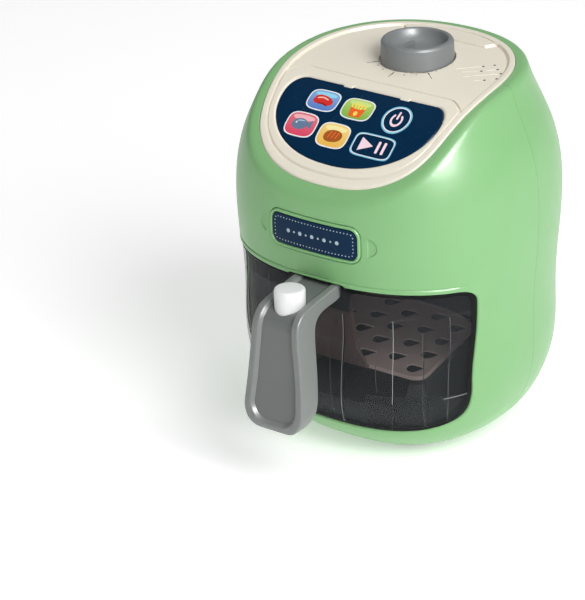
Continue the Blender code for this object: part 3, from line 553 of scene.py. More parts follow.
def outline_field(poly):
    """A function giving the signed distance to an outline, from a fine table."""
    poly = np.asarray(poly, float)
    lo, hi = poly.min(0) - 8, poly.max(0) + 8
    g = 0.2
    nx, ny = int((hi[0] - lo[0]) / g) + 2, int((hi[1] - lo[1]) / g) + 2
    x, y = lo[0] + g * np.arange(nx), lo[1] + g * np.arange(ny)
    X, Y = np.meshgrid(x, y, indexing="ij")
    best = np.full(X.shape, 1e9)
    hit = np.zeros(X.shape, bool)
    for (ax, ay), (bx, by) in zip(poly, np.roll(poly, -1, 0)):
        dx, dy = bx - ax, by - ay
        length = dx * dx + dy * dy
        if length < 1e-12:
            continue
        t = np.clip(((X - ax) * dx + (Y - ay) * dy) / length, 0, 1)
        best = np.minimum(best, (X - ax - dx * t) ** 2 + (Y - ay - dy * t) ** 2)
        if ay != by:
            hit ^= ((ay > Y) != (by > Y)) & (X < dx * (Y - ay) / dy + ax)
    table = np.where(hit, -1, 1) * np.sqrt(best)

    def field(a, b):
        a, b = np.broadcast_arrays(np.asarray(a, float), np.asarray(b, float))
        fx = np.clip((a - lo[0]) / g, 0, nx - 1.001)
        fy = np.clip((b - lo[1]) / g, 0, ny - 1.001)
        i, j = fx.astype(int), fy.astype(int)
        u, v = fx - i, fy - j
        return ((table[i, j] * (1 - u) + table[i + 1, j] * u) * (1 - v)
                + (table[i, j + 1] * (1 - u) + table[i + 1, j + 1] * u) * v)

    return field


def curl(d, r):
    """How far a rounded edge has dropped at a distance from the edge."""
    q = np.clip(r - np.maximum(d, 0), 0, r)
    return r - np.sqrt(np.maximum(r * r - q * q, 0))


def dip(d, depth, width):
    """Depth of a recess at signed distance d from its edge, with a short wall."""
    t = np.clip(-d / width, 0, 1)
    return depth * t * t * (3 - 2 * t)


# ---------------------------------------------------------------- materials
def principled(mat):
    return mat.node_tree.nodes["Principled BSDF"]


def plastic(name, rgb, rough=0.4, vary=0.05, rough_vary=0.06, grain=2600.0, grain_depth=0.00002, waves=0.0,
            coat=0.0, alpha=1.0, metallic=0.0, ior=1.5, edge=None, specular=0.5, glow=0.0, coat_rough=0.12):
    """Moulded plastic (or another hard finish): slight colour and gloss variation and a fine surface grain."""
    mat = bpy.data.materials.new(name)
    mat.use_nodes = True
    tree = mat.node_tree
    shader = principled(mat)
    node = tree.nodes.new

    def link(a, b):
        tree.links.new(a, b)

    coord = node("ShaderNodeTexCoord")
    broad = node("ShaderNodeTexNoise")
    broad.inputs["Scale"].default_value = 38.0
    broad.inputs["Detail"].default_value = 3.0
    link(coord.outputs["Object"], broad.inputs["Vector"])
    ramp = node("ShaderNodeMix")
    ramp.data_type = "RGBA"
    dark = tuple(max(0.0, c * (1 - vary)) for c in rgb)
    light = tuple(min(1.0, c * (1 + vary)) for c in rgb)
    ramp.inputs[6].default_value = (*dark, 1)
    ramp.inputs[7].default_value = (*light, 1)
    link(broad.outputs["Fac"], ramp.inputs[0])
    colour = ramp.outputs[2]
    fine = node("ShaderNodeTexNoise")
    fine.inputs["Scale"].default_value = grain
    fine.inputs["Detail"].default_value = 2.0
    link(coord.outputs["Object"], fine.inputs["Vector"])
    if edge is not None:
        # faint lighter specks as in filled plastic
        speck = node("ShaderNodeMix")
        speck.data_type = "RGBA"
        thr = node("ShaderNodeMapRange")
        thr.inputs["From Min"].default_value = 0.58
        thr.inputs["From Max"].default_value = 0.72
        thr.inputs["To Max"].default_value = edge
        link(fine.outputs["Fac"], thr.inputs["Value"])
        link(thr.outputs["Result"], speck.inputs[0])
        link(colour, speck.inputs[6])
        speck.inputs[7].default_value = (*[min(1, c * 1.6 + 0.02) for c in rgb], 1)
        colour = speck.outputs[2]
    link(colour, shader.inputs["Base Color"])
    smear = node("ShaderNodeTexNoise")
    smear.inputs["Scale"].default_value = 110.0
    smear.inputs["Detail"].default_value = 5.0
    link(coord.outputs["Object"], smear.inputs["Vector"])
    to_rough = node("ShaderNodeMapRange")
    to_rough.inputs["From Min"].default_value = 0.3
    to_rough.inputs["From Max"].default_value = 0.7
    to_rough.inputs["To Min"].default_value = max(0.02, rough - rough_vary)
    to_rough.inputs["To Max"].default_value = min(1.0, rough + rough_vary)
    link(smear.outputs["Fac"], to_rough.inputs["Value"])
    link(to_rough.outputs["Result"], shader.inputs["Roughness"])
    if grain_depth:
        bump = node("ShaderNodeBump")
        bump.inputs["Strength"].default_value = 0.6
        bump.inputs["Distance"].default_value = grain_depth
        link(fine.outputs["Fac"], bump.inputs["Height"])
        link(bump.outputs["Normal"], shader.inputs["Normal"])
    shader.inputs["Metallic"].default_value = metallic
    shader.inputs["IOR"].default_value = ior
    shader.inputs["Coat Weight"].default_value = coat
    shader.inputs["Coat Roughness"].default_value = coat_rough
    shader.inputs["Alpha"].default_value = alpha
    shader.inputs["Specular IOR Level"].default_value = specular
    if glow:
        link(colour, shader.inputs["Emission Color"])
        shader.inputs["Emission Strength"].default_value = glow
    return mat


def tile_paint(name, low, high, y0, y1):
    """Printed colour that runs from one shade at y0 to another at y1 (mm), under a gloss."""
    mat = plastic(name, low, 0.24, 0.02, 0.03, grain=1200, grain_depth=0.000003, specular=0.15)
    tree = mat.node_tree
    coord = tree.nodes.new("ShaderNodeTexCoord")
    split = tree.nodes.new("ShaderNodeSeparateXYZ")
    tree.links.new(coord.outputs["Object"], split.inputs[0])
    span = tree.nodes.new("ShaderNodeMapRange")
    span.inputs["From Min"].default_value = (y0 + Y_SHIFT) * MM
    span.inputs["From Max"].default_value = (y1 + Y_SHIFT) * MM
    tree.links.new(split.outputs["Y"], span.inputs["Value"])
    mix = tree.nodes.new("ShaderNodeMix")
    mix.data_type = "RGBA"
    mix.inputs[6].default_value = (*low, 1)
    mix.inputs[7].default_value = (*high, 1)
    tree.links.new(span.outputs["Result"], mix.inputs[0])
    tree.links.new(mix.outputs[2], principled(mat).inputs["Base Color"])
    return mat


def srgb(r, g, b):
    out = []
    for c in (r, g, b):
        c /= 255
        out.append(c / 12.92 if c <= 0.04045 else ((c + 0.055) / 1.055) ** 2.4)
    return tuple(out)


FINISH = {
    "shell_green": plastic("green_shell", srgb(131, 183, 124), 0.36, 0.03, 0.05, grain=2400, grain_depth=0.000012, coat=0.22, coat_rough=0.3, specular=0.25),
    "deck_cream": plastic("cream_deck", srgb(236, 229, 213), 0.42, 0.02, 0.05, grain=2600, grain_depth=0.000012),
    "lens_navy": plastic("navy_lens", srgb(0, 40, 70), 0.24, 0.06, 0.04, grain=1500, grain_depth=0.000003, specular=0.12),
    "dial_grey": plastic("grey_dial", srgb(122, 126, 127), 0.42, 0.03, 0.06, grain=3000, grain_depth=0.00002, edge=0.08),
    "handle_grey": plastic("grey_handle", srgb(123, 127, 125), 0.38, 0.03, 0.06, grain=3000, grain_depth=0.00002, edge=0.08),
    "button_white": plastic("white_button", srgb(236, 236, 237), 0.35, 0.01, 0.05, grain=2600, grain_depth=0.00001),
    "window_smoke": plastic("smoked_window", srgb(48, 51, 54), 0.34, 0.03, 0.02, grain=300, grain_depth=0.0, alpha=0.34, specular=0.16),
    "pan_charcoal": plastic("charcoal_pan", srgb(62, 66, 69), 0.5, 0.03, 0.06, grain=3000, grain_depth=0.0),
    # painted light: the tray's base colour is raised and the tray and liner glow faintly, standing in for light in the
    # dim drawer seen through the smoked window
    "tray_brown": plastic("brown_tray_painted_light", srgb(226, 202, 196), 0.45, 0.03, 0.08, grain=3000, grain_depth=0.0, glow=0.045),
    "liner_dark": plastic("dark_liner_painted_light", srgb(90, 94, 97), 0.6, 0.03, 0.06, grain=2600, grain_depth=0.0, glow=0.02),
    "foot_rubber": plastic("rubber_foot", srgb(58, 58, 58), 0.8, 0.08, 0.08, grain=3200, grain_depth=0.00005),
    "inner_plastic": plastic("natural_plastic", srgb(205, 205, 200), 0.5, 0.03, 0.08, grain=2600, grain_depth=0.00002),
    "board_green": plastic("circuit_board", (0.02, 0.16, 0.07), 0.4, 0.2, 0.1, grain=1800, grain_depth=0.00002),
    "steel": plastic("zinc_steel", (0.60, 0.60, 0.62), 0.3, 0.05, 0.1, grain=4000, grain_depth=0.00001, metallic=1.0),
    "cell_wrap": plastic("cell_sleeve", (0.10, 0.12, 0.20), 0.35, 0.1, 0.06, grain=1500, grain_depth=0.00001),
    "speaker_black": plastic("black_part", (0.03, 0.03, 0.03), 0.6, 0.1, 0.08, grain=3000, grain_depth=0.00003),
    "lamp_clear": plastic("amber_lamp", (0.90, 0.55, 0.35), 0.15, 0.03, 0.04, grain=900, grain_depth=0.000004),
}
nodes = frame["nodes"]
slot_of = {}
for entry in frame["record"].get("materials", []):
    for n in entry.get("nodes", entry.get("applies_to", [])):
        slot_of[n] = entry.get("slot")
for n, ob in nodes.items():
    names = [s.material.name.split(".")[0] for s in ob.material_slots if s.material]
    key = next((k for k in names if k in FINISH), None) or slot_of.get(n)
    if key in FINISH:
        ob.data.materials.clear()
        ob.data.materials.append(FINISH[key])


def piece(ob, body, key, *stands_for, material=None):
    ob.data.materials.clear()
    ob.data.materials.append(material or FINISH[key])
    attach(ob, body)
    if stands_for:
        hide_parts(*stands_for)
    return ob


# ---------------------------------------------------------------- the two halves of the housing
ARC = 74.0
RIM_LEN = 4.1
RIM_FLAT = RIM_INSET - RIM_ROUND


def rim_start(theta):
    t = (np.asarray(theta, float) + math.pi) % (2 * math.pi) - math.pi
    zr = np.interp(t, RIM_T, RIM_P[:, 2])
    return zr, arc_of(zr - RIM_ROUND)


def housing(theta, v, thick=0.0, same_x=False):
    theta, v = np.asarray(theta, float), np.asarray(v, float)
    zr, vs = rim_start(theta)
    z = z_of(np.minimum(v, vs))
    ti = theta
    if same_x:
        x = wall(theta, z)[..., 0]
        w = np.clip((1.5 - np.abs(theta)) / 0.3, 0, 1)
        ti = theta + w * (theta_front(x, z, thick) - theta)
    low = wall(ti, z, thick)
    t = np.clip((v - vs) / RIM_LEN, 0, 1)[..., None]
    extra = np.clip(v - vs - RIM_LEN, 0, RIM_FLAT)
    start = wall(ti, zr - RIM_ROUND, thick)
    control = wall(theta, zr - thick, thick)
    plan = rim_plan(theta, RIM_ROUND + extra)
    end = np.concatenate([plan, (deck_height(plan[..., 1]) - thick)[..., None]], -1)
    curve = (1 - t) ** 2 * start + 2 * t * (1 - t) * control + t * t * end
    return np.where((v <= vs)[..., None], low, np.where((extra > 0)[..., None], end, curve))


def displaced(fn, P, d):
    """The surface fn(P) moved along its outward normal by d."""
    e = 0.03
    base = fn(P)
    du = fn(P + [e, 0]) - fn(P - [e, 0])
    dv = fn(P + [0, e]) - fn(P - [0, e])
    n = np.cross(du, dv)
    n /= np.maximum(np.linalg.norm(n, axis=1), 1e-12)[:, None]
    return base + n * d[:, None]


def seam_line(y, steps_low, side):
    """(theta, v) points up the seam, from the bottom over the rim."""
    out = []

    def solve(height):
        lo, hi = (1.0, 2.3) if side > 0 else (-2.3, -1.0)
        for _ in range(40):
            mid = (lo + hi) / 2
            behind = height(mid)[1] > y
            if side > 0:
                lo, hi = (lo, mid) if behind else (mid, hi)
            else:
                lo, hi = (mid, hi) if behind else (lo, mid)
        return (lo + hi) / 2

    top = None
    for k in range(steps_low + 1):
        f = k / steps_low

        def at(th, f=f):
            _, vs = rim_start(th)
            v = arc_of(BASE_Z) + f * (vs - arc_of(BASE_Z))
            return housing(th, v)

        th = solve(at)
        _, vs = rim_start(th)
        out.append((th, float(arc_of(BASE_Z) + f * (vs - arc_of(BASE_Z)))))
    for k in range(1, 13):
        extra = k / 12 * (RIM_LEN + RIM_FLAT)

        def at(th, extra=extra):
            _, vs = rim_start(th)
            return housing(th, vs + extra)

        th = solve(at)
        _, vs = rim_start(th)
        out.append((th, float(vs + extra)))
    return np.array(out)


def shell_outline(y, front):
    right = seam_line(y, 110, 1)
    left = seam_line(y, 110, -1)
    if not front:
        left = left + [2 * math.pi, 0]
        right, left = left, right
    a, b = left[0, 0], right[0, 0]
    n = int((b - a) * ARC / 1.6)
    bottom = np.stack([np.linspace(a, b, n + 1)[1:-1], np.full(n - 1, arc_of(BASE_Z))], -1)
    a2, b2 = left[-1, 0], right[-1, 0]
    th = np.linspace(b2, a2, n + 1)[1:-1]
    top = np.stack([th, rim_start(th)[1] + RIM_LEN + RIM_FLAT], -1)
    loop = np.vstack([bottom, right, top, left[::-1]])
    return loop * [ARC, 1.0]


def front_uv(outline):
    """An outline from the front, (x, z), as (u, v) on the surface."""
    q = np.asarray(outline, float)
    return np.stack([ARC * theta_front(q[:, 0], q[:, 1]), arc_of(q[:, 1])], -1)


def rear_uv(outline):
    q = np.asarray(outline, float)
    return np.stack([ARC * (math.pi - theta_rear(q[:, 0], q[:, 1])), arc_of(q[:, 1])], -1)[::-1]


def opening_outline(inset, step):
    """Outline of the drawer opening from the front, moved inwards."""
    body = np.array([(x, z) for x, z in OPEN_EDGE[:18]])
    bend = catmull(body, 6)
    right = np.vstack([bend, np.array(OPEN_EDGE[18:])])
    loop = np.vstack([right, (right[1:-1] * [-1, 1])[::-1]])
    loop = resample(loop, step)
    return offset(loop, -inset) if inset else loop


BADGE_HALF, BADGE_LOW, BADGE_TOP, BADGE_R = 23.5, 107.5, 122.0, 3.8
EAR_Z = 114.75


def badge_outline(extra, step=0.6):
    r = max(0.4, BADGE_R + extra)
    return resample(rounded(-BADGE_HALF - extra, BADGE_HALF + extra, BADGE_LOW - extra, BADGE_TOP + extra, r), step)


def ear_outline(side, extra=0.0):
    a = np.linspace(-math.pi / 2, math.pi / 2, 25)
    r = 4.6 + extra
    pts = [(28.4 - extra, EAR_Z - r)] + [(28.4 + r * math.cos(q), EAR_Z + r * math.sin(q)) for q in a] + [(28.4 - extra, EAR_Z + r)]
    pts = np.array(pts)
    if side < 0:
        pts = (pts * [-1, 1])[::-1]
    return resample(pts, 0.5)


def around(loop, ds):
    return [offset(loop, d) for d in ds]


CREASE_Z = 95.0


def build_front():
    outer = shell_outline(SEAM_Y - 0.07, True)
    hole = front_uv(opening_outline(0.0, 1.0))
    seat = front_uv(badge_outline(2.0))
    ears = [front_uv(ear_outline(s)) for s in (-1, 1)]
    xs = np.linspace(-64, 64, 150)

    def crease(dz):
        return front_uv(np.stack([xs, np.full(len(xs), CREASE_Z) + dz], -1))

    lines = around(outer, (-0.1, -0.3)) + around(hole, (0.12, 0.3, 0.6, 1.0)) + around(seat, (0.3, 0.1, -0.12))
    for e in ears:
        lines += around(e, (0.15, 0.0, -0.2, -0.45))
    P, T, loops = mesh_plane(outer, [hole], lines, [crease(d) for d in (-0.55, -0.3, 0.0, 0.3, 0.55)], 3.2, 0.45)

    def fn(q):
        return housing(q[:, 0] / ARC, q[:, 1])

    z = z_of(P[:, 1])
    base = fn(P)
    x = base[:, 0]
    d = -curl(distance(outer, P), 0.15)
    dh = distance(hole, P)
    d -= curl(dh, 1.0)
    ds = signed(seat, P)
    d -= dip(ds, 1.2, 0.12)
    d -= curl(np.where(ds < 0, 9, ds), 0.3)
    for e in ears:
        de = signed(e, P)
        d -= dip(de, 0.55, 0.45)
    fade = np.clip((67 - np.abs(x)) / 9, 0, 1)
    fade = fade * fade * (3 - 2 * fade)
    near = base[:, 1] < 0
    gap = np.abs(z - CREASE_Z)
    d -= np.where(near, fade * 0.38 * np.exp(-(gap / 0.32) ** 2), 0)
    band = np.clip((CREASE_Z - z) / 0.9, 0, 1) * (z > 90)
    d += np.where(near, fade * 0.22 * band, 0)
    top = displaced(fn, P, d)
    bottom = housing(P[:, 0] / ARC, P[:, 1], WALL, True)
    return solid_sheet("front_shell_skin", P, T, loops, top, bottom, smooth=38)


DOOR_HALF, DOOR_LOW, DOOR_TOP = 27.5, 44.0, 106.0
WELLS = [(-37.0, 38.0), (37.0, 38.0), (-37.0, 130.0), (37.0, 130.0)]


def rear_y(x, z, inset=0.0):
    r = width_at(z) - inset * stretch_at(z)
    return REAR_DEPTH * r * np.maximum(0.0, 1 - (np.abs(x) / r) ** REAR_POWER) ** (1 / REAR_POWER)


def well_floor(x, z):
    return float(min(rear_y(abs(x) + 5.2, z), rear_y(x, z - 5.2), rear_y(x, z + 5.2)))


def join_meshes(name, parts, smooth=35.0):
    """Several closed bodies as one object."""
    verts, faces, n = [], [], 0
    for ob in parts:
        verts.extend([tuple(v.co) for v in ob.data.vertices])
        faces.extend([tuple(i + n for i in p.vertices) for p in ob.data.polygons])
        n += len(ob.data.vertices)
        bpy.data.objects.remove(ob, do_unlink=True)
    mesh = bpy.data.meshes.new(name)
    mesh.from_pydata(verts, [], faces)
    bm = bmesh.new()
    bm.from_mesh(mesh)
    bmesh.ops.recalc_face_normals(bm, faces=bm.faces[:])
    bm.to_mesh(mesh)
    bm.free()
    if smooth:
        mesh.shade_smooth()
        mesh.set_sharp_from_angle(angle=math.radians(smooth))
    ob = bpy.data.objects.new(name, mesh)
    bpy.context.scene.collection.objects.link(ob)
    return ob


def build_rear():
    outer = shell_outline(SEAM_Y + 0.07, False)
    door = rear_uv(resample(rounded(-DOOR_HALF, DOOR_HALF, DOOR_LOW, DOOR_TOP, 4.0), 1.0))
    wells = [rear_uv(circle(x, z, 3.4, 40)) for x, z in WELLS]
    lines = around(outer, (-0.1, -0.3)) + around(door, (0.1, 0.3, 0.6))
    for w in wells:
        lines += around(w, (0.15, 0.4, 0.8))
    P, T, loops = mesh_plane(outer, [door] + wells, lines, [], 3.2, 0.6)

    def fn(q):
        return housing(q[:, 0] / ARC, q[:, 1])

    d = -curl(distance(outer, P), 0.15) - curl(distance(door, P), 0.6)
    for w in wells:
        d -= curl(distance(w, P), 0.8)
    top = displaced(fn, P, d)
    bottom = housing(P[:, 0] / ARC, P[:, 1], WALL)
    shell = solid_sheet("rear_sheet", P, T, loops, top, bottom, smooth=38)
    parts = [shell]
    for k, (x, z) in enumerate(WELLS):
        back = well_floor(x, z)
        parts.append(lathe("post", [(3.45, back - 1.0), (3.45, back - 4.9), (3.3, back - 5.0), (1.7, back - 5.0), (1.5, back - 5.2),
                                    (1.5, back - 14), (5.0, back - 14), (5.0, back - 1.0)], (x, 0, z), seg=48, axis="y"))
    return join_meshes("rear_shell_skin", parts, 38)


def build_door():
    outline = rear_uv(resample(rounded(-DOOR_HALF + 0.4, DOOR_HALF - 0.4, DOOR_LOW + 0.4, DOOR_TOP - 0.4, 3.6), 1.0))
    dz = DOOR_TOP - 5.2
    hole = rear_uv(circle(0, dz, 2.8, 40))
    ridges = [rear_uv(resample(rounded(-9, 9, z, z + 1.2, 0.6), 0.4)) for z in (49.0, 51.6, 54.2, 56.8)]
    lines = around(outline, (-0.1, -0.3, -0.6)) + around(hole, (0.15, 0.4))
    for r in ridges:
        lines += around(r, (0.0, -0.25))
    P, T, loops = mesh_plane(outline, [hole], lines, [], 3.0, 0.5)

    def fn(q):
        return wall(q[:, 0] / ARC, z_of(q[:, 1]), 0.3)

    d = -curl(distance(outline, P), 0.6) - curl(distance(hole, P), 0.4)
    for r in ridges:
        d += dip(signed(r, P), 0.28, 0.3)
    top = displaced(fn, P, d)
    bottom = wall(P[:, 0] / ARC, z_of(P[:, 1]), 2.3)
    skin = solid_sheet("door_sheet", P, T, loops, top, bottom)
    dy = float(rear_y(0, dz))
    cup = lathe("door_cup", [(2.85, dy - 0.8), (2.85, dy - 1.5), (1.4, dy - 1.5), (1.4, dy - 3.4), (4.2, dy - 3.4), (4.2, dy - 1.2)],
                (0, 0, dz), seg=40, axis="y")
    return join_meshes("battery_door_skin", [skin, cup])


piece(build_front(), "housing", "shell_green", "front_shell")
piece(build_rear(), "housing", "shell_green", "rear_shell")
piece(build_door(), "housing", "shell_green", "battery_door")


# ---------------------------------------------------------------- badge
def on_front(loop, inset):
    q = np.asarray(loop, float)
    return wall(theta_front(q[:, 0], q[:, 1], inset), q[:, 1], inset)


bead = [(1.7, 0.9), (1.7, 0.1), (1.66, -0.25), (1.54, -0.5), (1.34, -0.7), (1.0, -0.8), (0.66, -0.7), (0.46, -0.5), (0.34, -0.25),
        (0.3, 0.1), (0.3, 0.9)]
path = badge_outline(1.0, 0.5)
frame_rows = [on_front(offset(path, e - 1.0), inset) for e, inset in bead]
badge_frame = grid_solid("badge_frame_bead", frame_rows, True, 50)
piece(badge_frame, "housing", "shell_green", "badge_frame")


def front_sheet(name, outline, top, bottom, round_edge=0.0, h=2.0, holes=()):
    ds = (-0.08, -0.2, -0.4) if round_edge else ()
    P, T, loops = mesh_plane(outline, list(holes), around(outline, [d * round_edge / 0.4 for d in ds]), [], h, h / 4)
    d = curl(distance(outline, P), round_edge) if round_edge else np.zeros(len(P))
    a = wall(theta_front(P[:, 0], P[:, 1], top), P[:, 1], top + d)
    b = wall(theta_front(P[:, 0], P[:, 1], bottom), P[:, 1], bottom)
    return solid_sheet(name, P, T, loops, a, b)


piece(front_sheet("badge_plate_navy", badge_outline(0.0), -0.35, 0.2, 0.25), "housing", "lens_navy", "badge_plate")


# ---------------------------------------------------------------- control deck
DECK_EDGE = RIM_INSET + 0.3
LENS_X, LENS_HALF = 1.0, 43.0
LENS_TOP, LENS_MID, LENS_DEEP = -21.1, -30.8, -54.6
DIAL_BASE = (DIAL_X, DIAL_Y, float(deck_height(DIAL_Y)) + MID + DIAL_SEAT)


def lens_outline(extra=0.0, step=0.8):
    out = []
    top, wide, deep = LENS_TOP + extra, LENS_HALF + extra, LENS_DEEP - extra
    left = []
    for k in range(61):
        a = math.radians(-90 + 90 * k / 60)
        c, v = math.cos(a), math.sin(a)
        out.append((wide * c, LENS_MID + (LENS_MID - deep) * v))
        left.append((-(wide + 0.5) * max(c, 0.0) ** 0.87, LENS_MID - (LENS_MID - deep) * abs(v) ** 0.87))
    for k in range(1, 31):
        a = math.radians(3 * k)
        out.append((wide - 8.0 + 8.0 * math.cos(a), LENS_MID + (top - LENS_MID) * math.sin(a)))
        left.append((-(wide - 7.5 + 8.0 * math.cos(a)), LENS_MID + (top - LENS_MID) * math.sin(a)))
    return resample(np.array(out + [p for p in left[::-1] if abs(p[0]) > 0.01]) + [LENS_X, 0.0], step)


def deck_map(P, level):
    return np.stack([P[:, 0], P[:, 1], deck_height(P[:, 1]) + level], -1)


FRONT_STEP = catmull([(-60, -27), (-54, -23.2), (-50, -20.9), (-46.6, -18.4), (-42.6, -15.0), (-38.5, -13.9), (-33, -14.3), (0, -14.8), (36, -15.0),
                      (42, -16.2), (46, -19.0), (50, -21.9), (54, -23.6), (60, -26.5)], 12)
REAR_STEP = catmull([(-31, 49), (-27.6, 45.8), (-25.6, 43.0), (-22.4, 41.0), (0, 39.6), (20.2, 39.0), (23.0, 40.0), (27.2, 45.4), (31, 49)], 12)
GROOVES = [((24.9, 11.8), (34.2, 19.6)), ((29.5, 9.9), (36.4, 14.7)), ((38.4, 16.3), (42.0, 19.8)), ((32.7, 6.0), (45.9, 16.4)),
           ((39.6, 4.7), (43.2, 7.0)), ((46.0, 9.8), (47.3, 10.7))]
DOTS = [(38.1, 23.2)]


def capsule(a, b, w, n=8):
    a, b = np.array(a, float), np.array(b, float)
    u = (b - a) / np.linalg.norm(b - a)
    ang = math.atan2(u[1], u[0])
    one = [b + w * np.array([math.cos(ang + q), math.sin(ang + q)]) for q in np.linspace(-math.pi / 2, math.pi / 2, n)]
    two = [a + w * np.array([math.cos(ang + q), math.sin(ang + q)]) for q in np.linspace(math.pi / 2, 3 * math.pi / 2, n)]
    return np.array(one + two)


def side_of(line, P):
    """Signed distance to a line across the deck, positive behind it."""
    d = distance(line, P, closed=False)
    y = np.interp(P[:, 0], line[:, 0], line[:, 1])
    return np.where(P[:, 1] > y, d, -d)


def ease(t):
    t = np.clip(t, 0, 1)
    return t * t * (3 - 2 * t)


TH = np.linspace(-math.pi, math.pi, 421)[:-1]


def build_deck():
    outer = resample(rim_plan(TH, np.full(len(TH), DECK_EDGE)), 1.2)
    pocket = lens_outline(0.3)
    lip = resample(rim_plan(TH, np.full(len(TH), DECK_EDGE + 3.0)), 1.2)
    ring = circle(DIAL_X, DIAL_Y, 17.95, 120)
    ring_in = circle(DIAL_X, DIAL_Y, 15.8, 110)
    slots = [resample(capsule(a, b, 0.42), 0.4) for a, b in GROOVES] + [circle(x, y, 0.45, 14) for x, y in DOTS]
    lines = around(outer, (-0.12, -0.3, -0.55)) + around(lip, (0.55, 0.3, 0.1, -0.05, -0.22, -0.42, -0.62, -0.82, -1.05, -1.4))
    lines += around(pocket, (0.0, -0.06, 0.35, 0.8, 1.2)) + around(ring, (0.25, 0.0, -0.15)) + around(ring_in, (0.0, -0.1))
    for s in slots:
        lines += around(s, (0.12, -0.12)) + [s]
    pits = [circle(x, y, 0.55, 16) for x, y in [b for a, b in GROOVES] + DOTS]
    for s in pits:
        lines += around(s, (0.15, -0.15)) + [s]
    inner = resample(rim_plan(TH, np.full(len(TH), DECK_EDGE + 4.4)), 1.2)

    def crop(line):
        keep = inside(inner, line)
        return line[keep]

    opens = []
    for base in (FRONT_STEP, REAR_STEP):
        fine = resample(base, 0.8, closed=False)
        for off in (-1.2, -0.95, -0.75, -0.55, -0.3, -0.1, 0.15, 0.35, 0.55, 0.75, 0.95, 1.2):
            opens.append(crop(offset_line(fine, off)))
    P, T, loops = mesh_plane(outer, [], lines, opens, 2.6, 0.5)
    d_edge = np.where(inside(outer, P), distance(outer, P), 0)
    d_lip = signed(lip, P)                    # negative on the recessed inside
    ahead = -side_of(resample(FRONT_STEP, 0.5, closed=False), P)
    behind = side_of(resample(REAR_STEP, 0.5, closed=False), P)
    zone = np.maximum(ease((ahead + 0.1) / 0.75), ease((behind + 0.1) / 0.75))
    foot = np.exp(-((ahead + 0.75) / 0.32) ** 4) + np.exp(-((behind + 0.5) / 0.32) ** 4)
    inner_level = MID + (0.48 - MID) * zone - 1.5 * foot
    lip_part = ease((d_lip + 0.1) / 0.25)
    level = inner_level + (0.6 - inner_level) * lip_part
    level -= curl(d_edge, 0.55) + curl(np.where(d_lip > 0, d_lip, 9), 0.45)
    level -= 1.3 * np.exp(-((d_lip + 0.62) / 0.3) ** 4) * (d_lip < 0)
    dp = signed(pocket, P)
    level -= np.where(dp >= -0.001, 0.62 * np.clip(1 - dp / 0.8, 0, 1) ** 1.0, 0)
    level = np.where(dp < -0.03, -1.7, level)
    dr = np.hypot(P[:, 0] - DIAL_X, P[:, 1] - DIAL_Y)
    seat = DIAL_BASE[2] - deck_height(P[:, 1])
    level = np.where(dr < 17.96, seat - 2.7 + (level - seat + 2.7) * np.clip((dr - 17.85) / 0.1, 0, 1), level)
    level = np.where(dr < 15.85, seat + 0.25 - 2.95 * np.clip((dr - 15.75) / 0.1, 0, 1), level)
    level -= np.where((dr >= 17.95), 0.15 * np.clip(1 - (dr - 17.95) / 0.3, 0, 1), 0)
    for s in slots:
        level -= dip(signed(s, P), 0.9, 0.2)
    for s in pits:
        level -= dip(signed(s, P), 1.5, 0.15)
    top = deck_map(P, level)
    bottom = deck_map(P, np.full(len(P), -4.0))

    def rows(k):
        p = P[loops[0]]
        n = rim_plan_offset(p, outer)
        return [deck_map(p, np.full(len(p), -2.5)), deck_map(p + n * 1.7, np.full(len(p), -2.5)), deck_map(p + n * 1.7, np.full(len(p), -4.0))]

    return solid_sheet("control_deck_skin", P, T, loops, top, bottom, rows, smooth=38)


def rim_plan_offset(p, outline):
    t = np.roll(p, -1, 0) - np.roll(p, 1, 0)
    t /= np.linalg.norm(t, axis=1)[:, None]
    return np.stack([t[:, 1], -t[:, 0]], -1)


def deck_piece(name, outline, high, low, round_edge=0.0, h=2.0, holes=(), lines=()):
    """A flat outline laid on the deck between two levels."""
    extra = around(outline, [-0.3 * round_edge, -0.7 * round_edge, -1.1 * round_edge]) if round_edge else []
    P, T, loops = mesh_plane(outline, list(holes), extra + list(lines), [], h, max(h / 4, 0.3))
    d = curl(distance(outline, P), round_edge) if round_edge else np.zeros(len(P))
    return solid_sheet(name, P, T, loops, deck_map(P, high - d), deck_map(P, np.full(len(P), low)))


deck_parts = [build_deck()]
# dark discs over the speaker holes: painted shade for the dark inside seen through the holes
HOLE_SHADE = plastic("speaker_hole_shade", srgb(54, 50, 46), 0.8, 0.1, 0.05, grain=3000, grain_depth=0.00001)
cloth = [deck_piece("cloth", circle(x, y, 0.62, 18), MID + 0.02, MID - 0.4, 0.0, 0.5) for x, y in [b for a, b in GROOVES] + DOTS]
for x in (-12.5, 18.9):
    deck_parts.append(deck_piece("tab", resample(rounded(x - 2.6, x + 2.6, -22.0, -20.1, 0.6), 0.3), 0.62, -0.3, 0.35, 0.8))
piece(join_meshes("control_deck_skin", deck_parts, 38), "housing", "deck_cream", "control_deck")
piece(join_meshes("speaker_holes", cloth, 30), "housing", "deck_cream", material=HOLE_SHADE)
piece(deck_piece("display_lens_navy", lens_outline(0.0), 0.15, -1.4, 0.35, 2.2), "housing", "lens_navy", "display_lens")

# ---------------------------------------------------------------- printed display: generic symbols on coloured tiles
PRINT_TOP = 0.15
layers = {}


def ink(key, outline, level, holes=()):
    layers.setdefault(key, []).append((np.asarray(outline, float), [np.asarray(q, float) for q in holes], level))


def superellipse(cx, cy, a, b, p=4.2, n=72, turn=0.0):
    t = np.linspace(0, 2 * math.pi, n, endpoint=False)
    c, s = np.cos(t), np.sin(t)
    x = a * np.sign(c) * np.abs(c) ** (2 / p)
    y = b * np.sign(s) * np.abs(s) ** (2 / p)
    return resample(np.stack([cx + x * math.cos(turn) - y * math.sin(turn), cy + x * math.sin(turn) + y * math.cos(turn)], -1), 0.5)


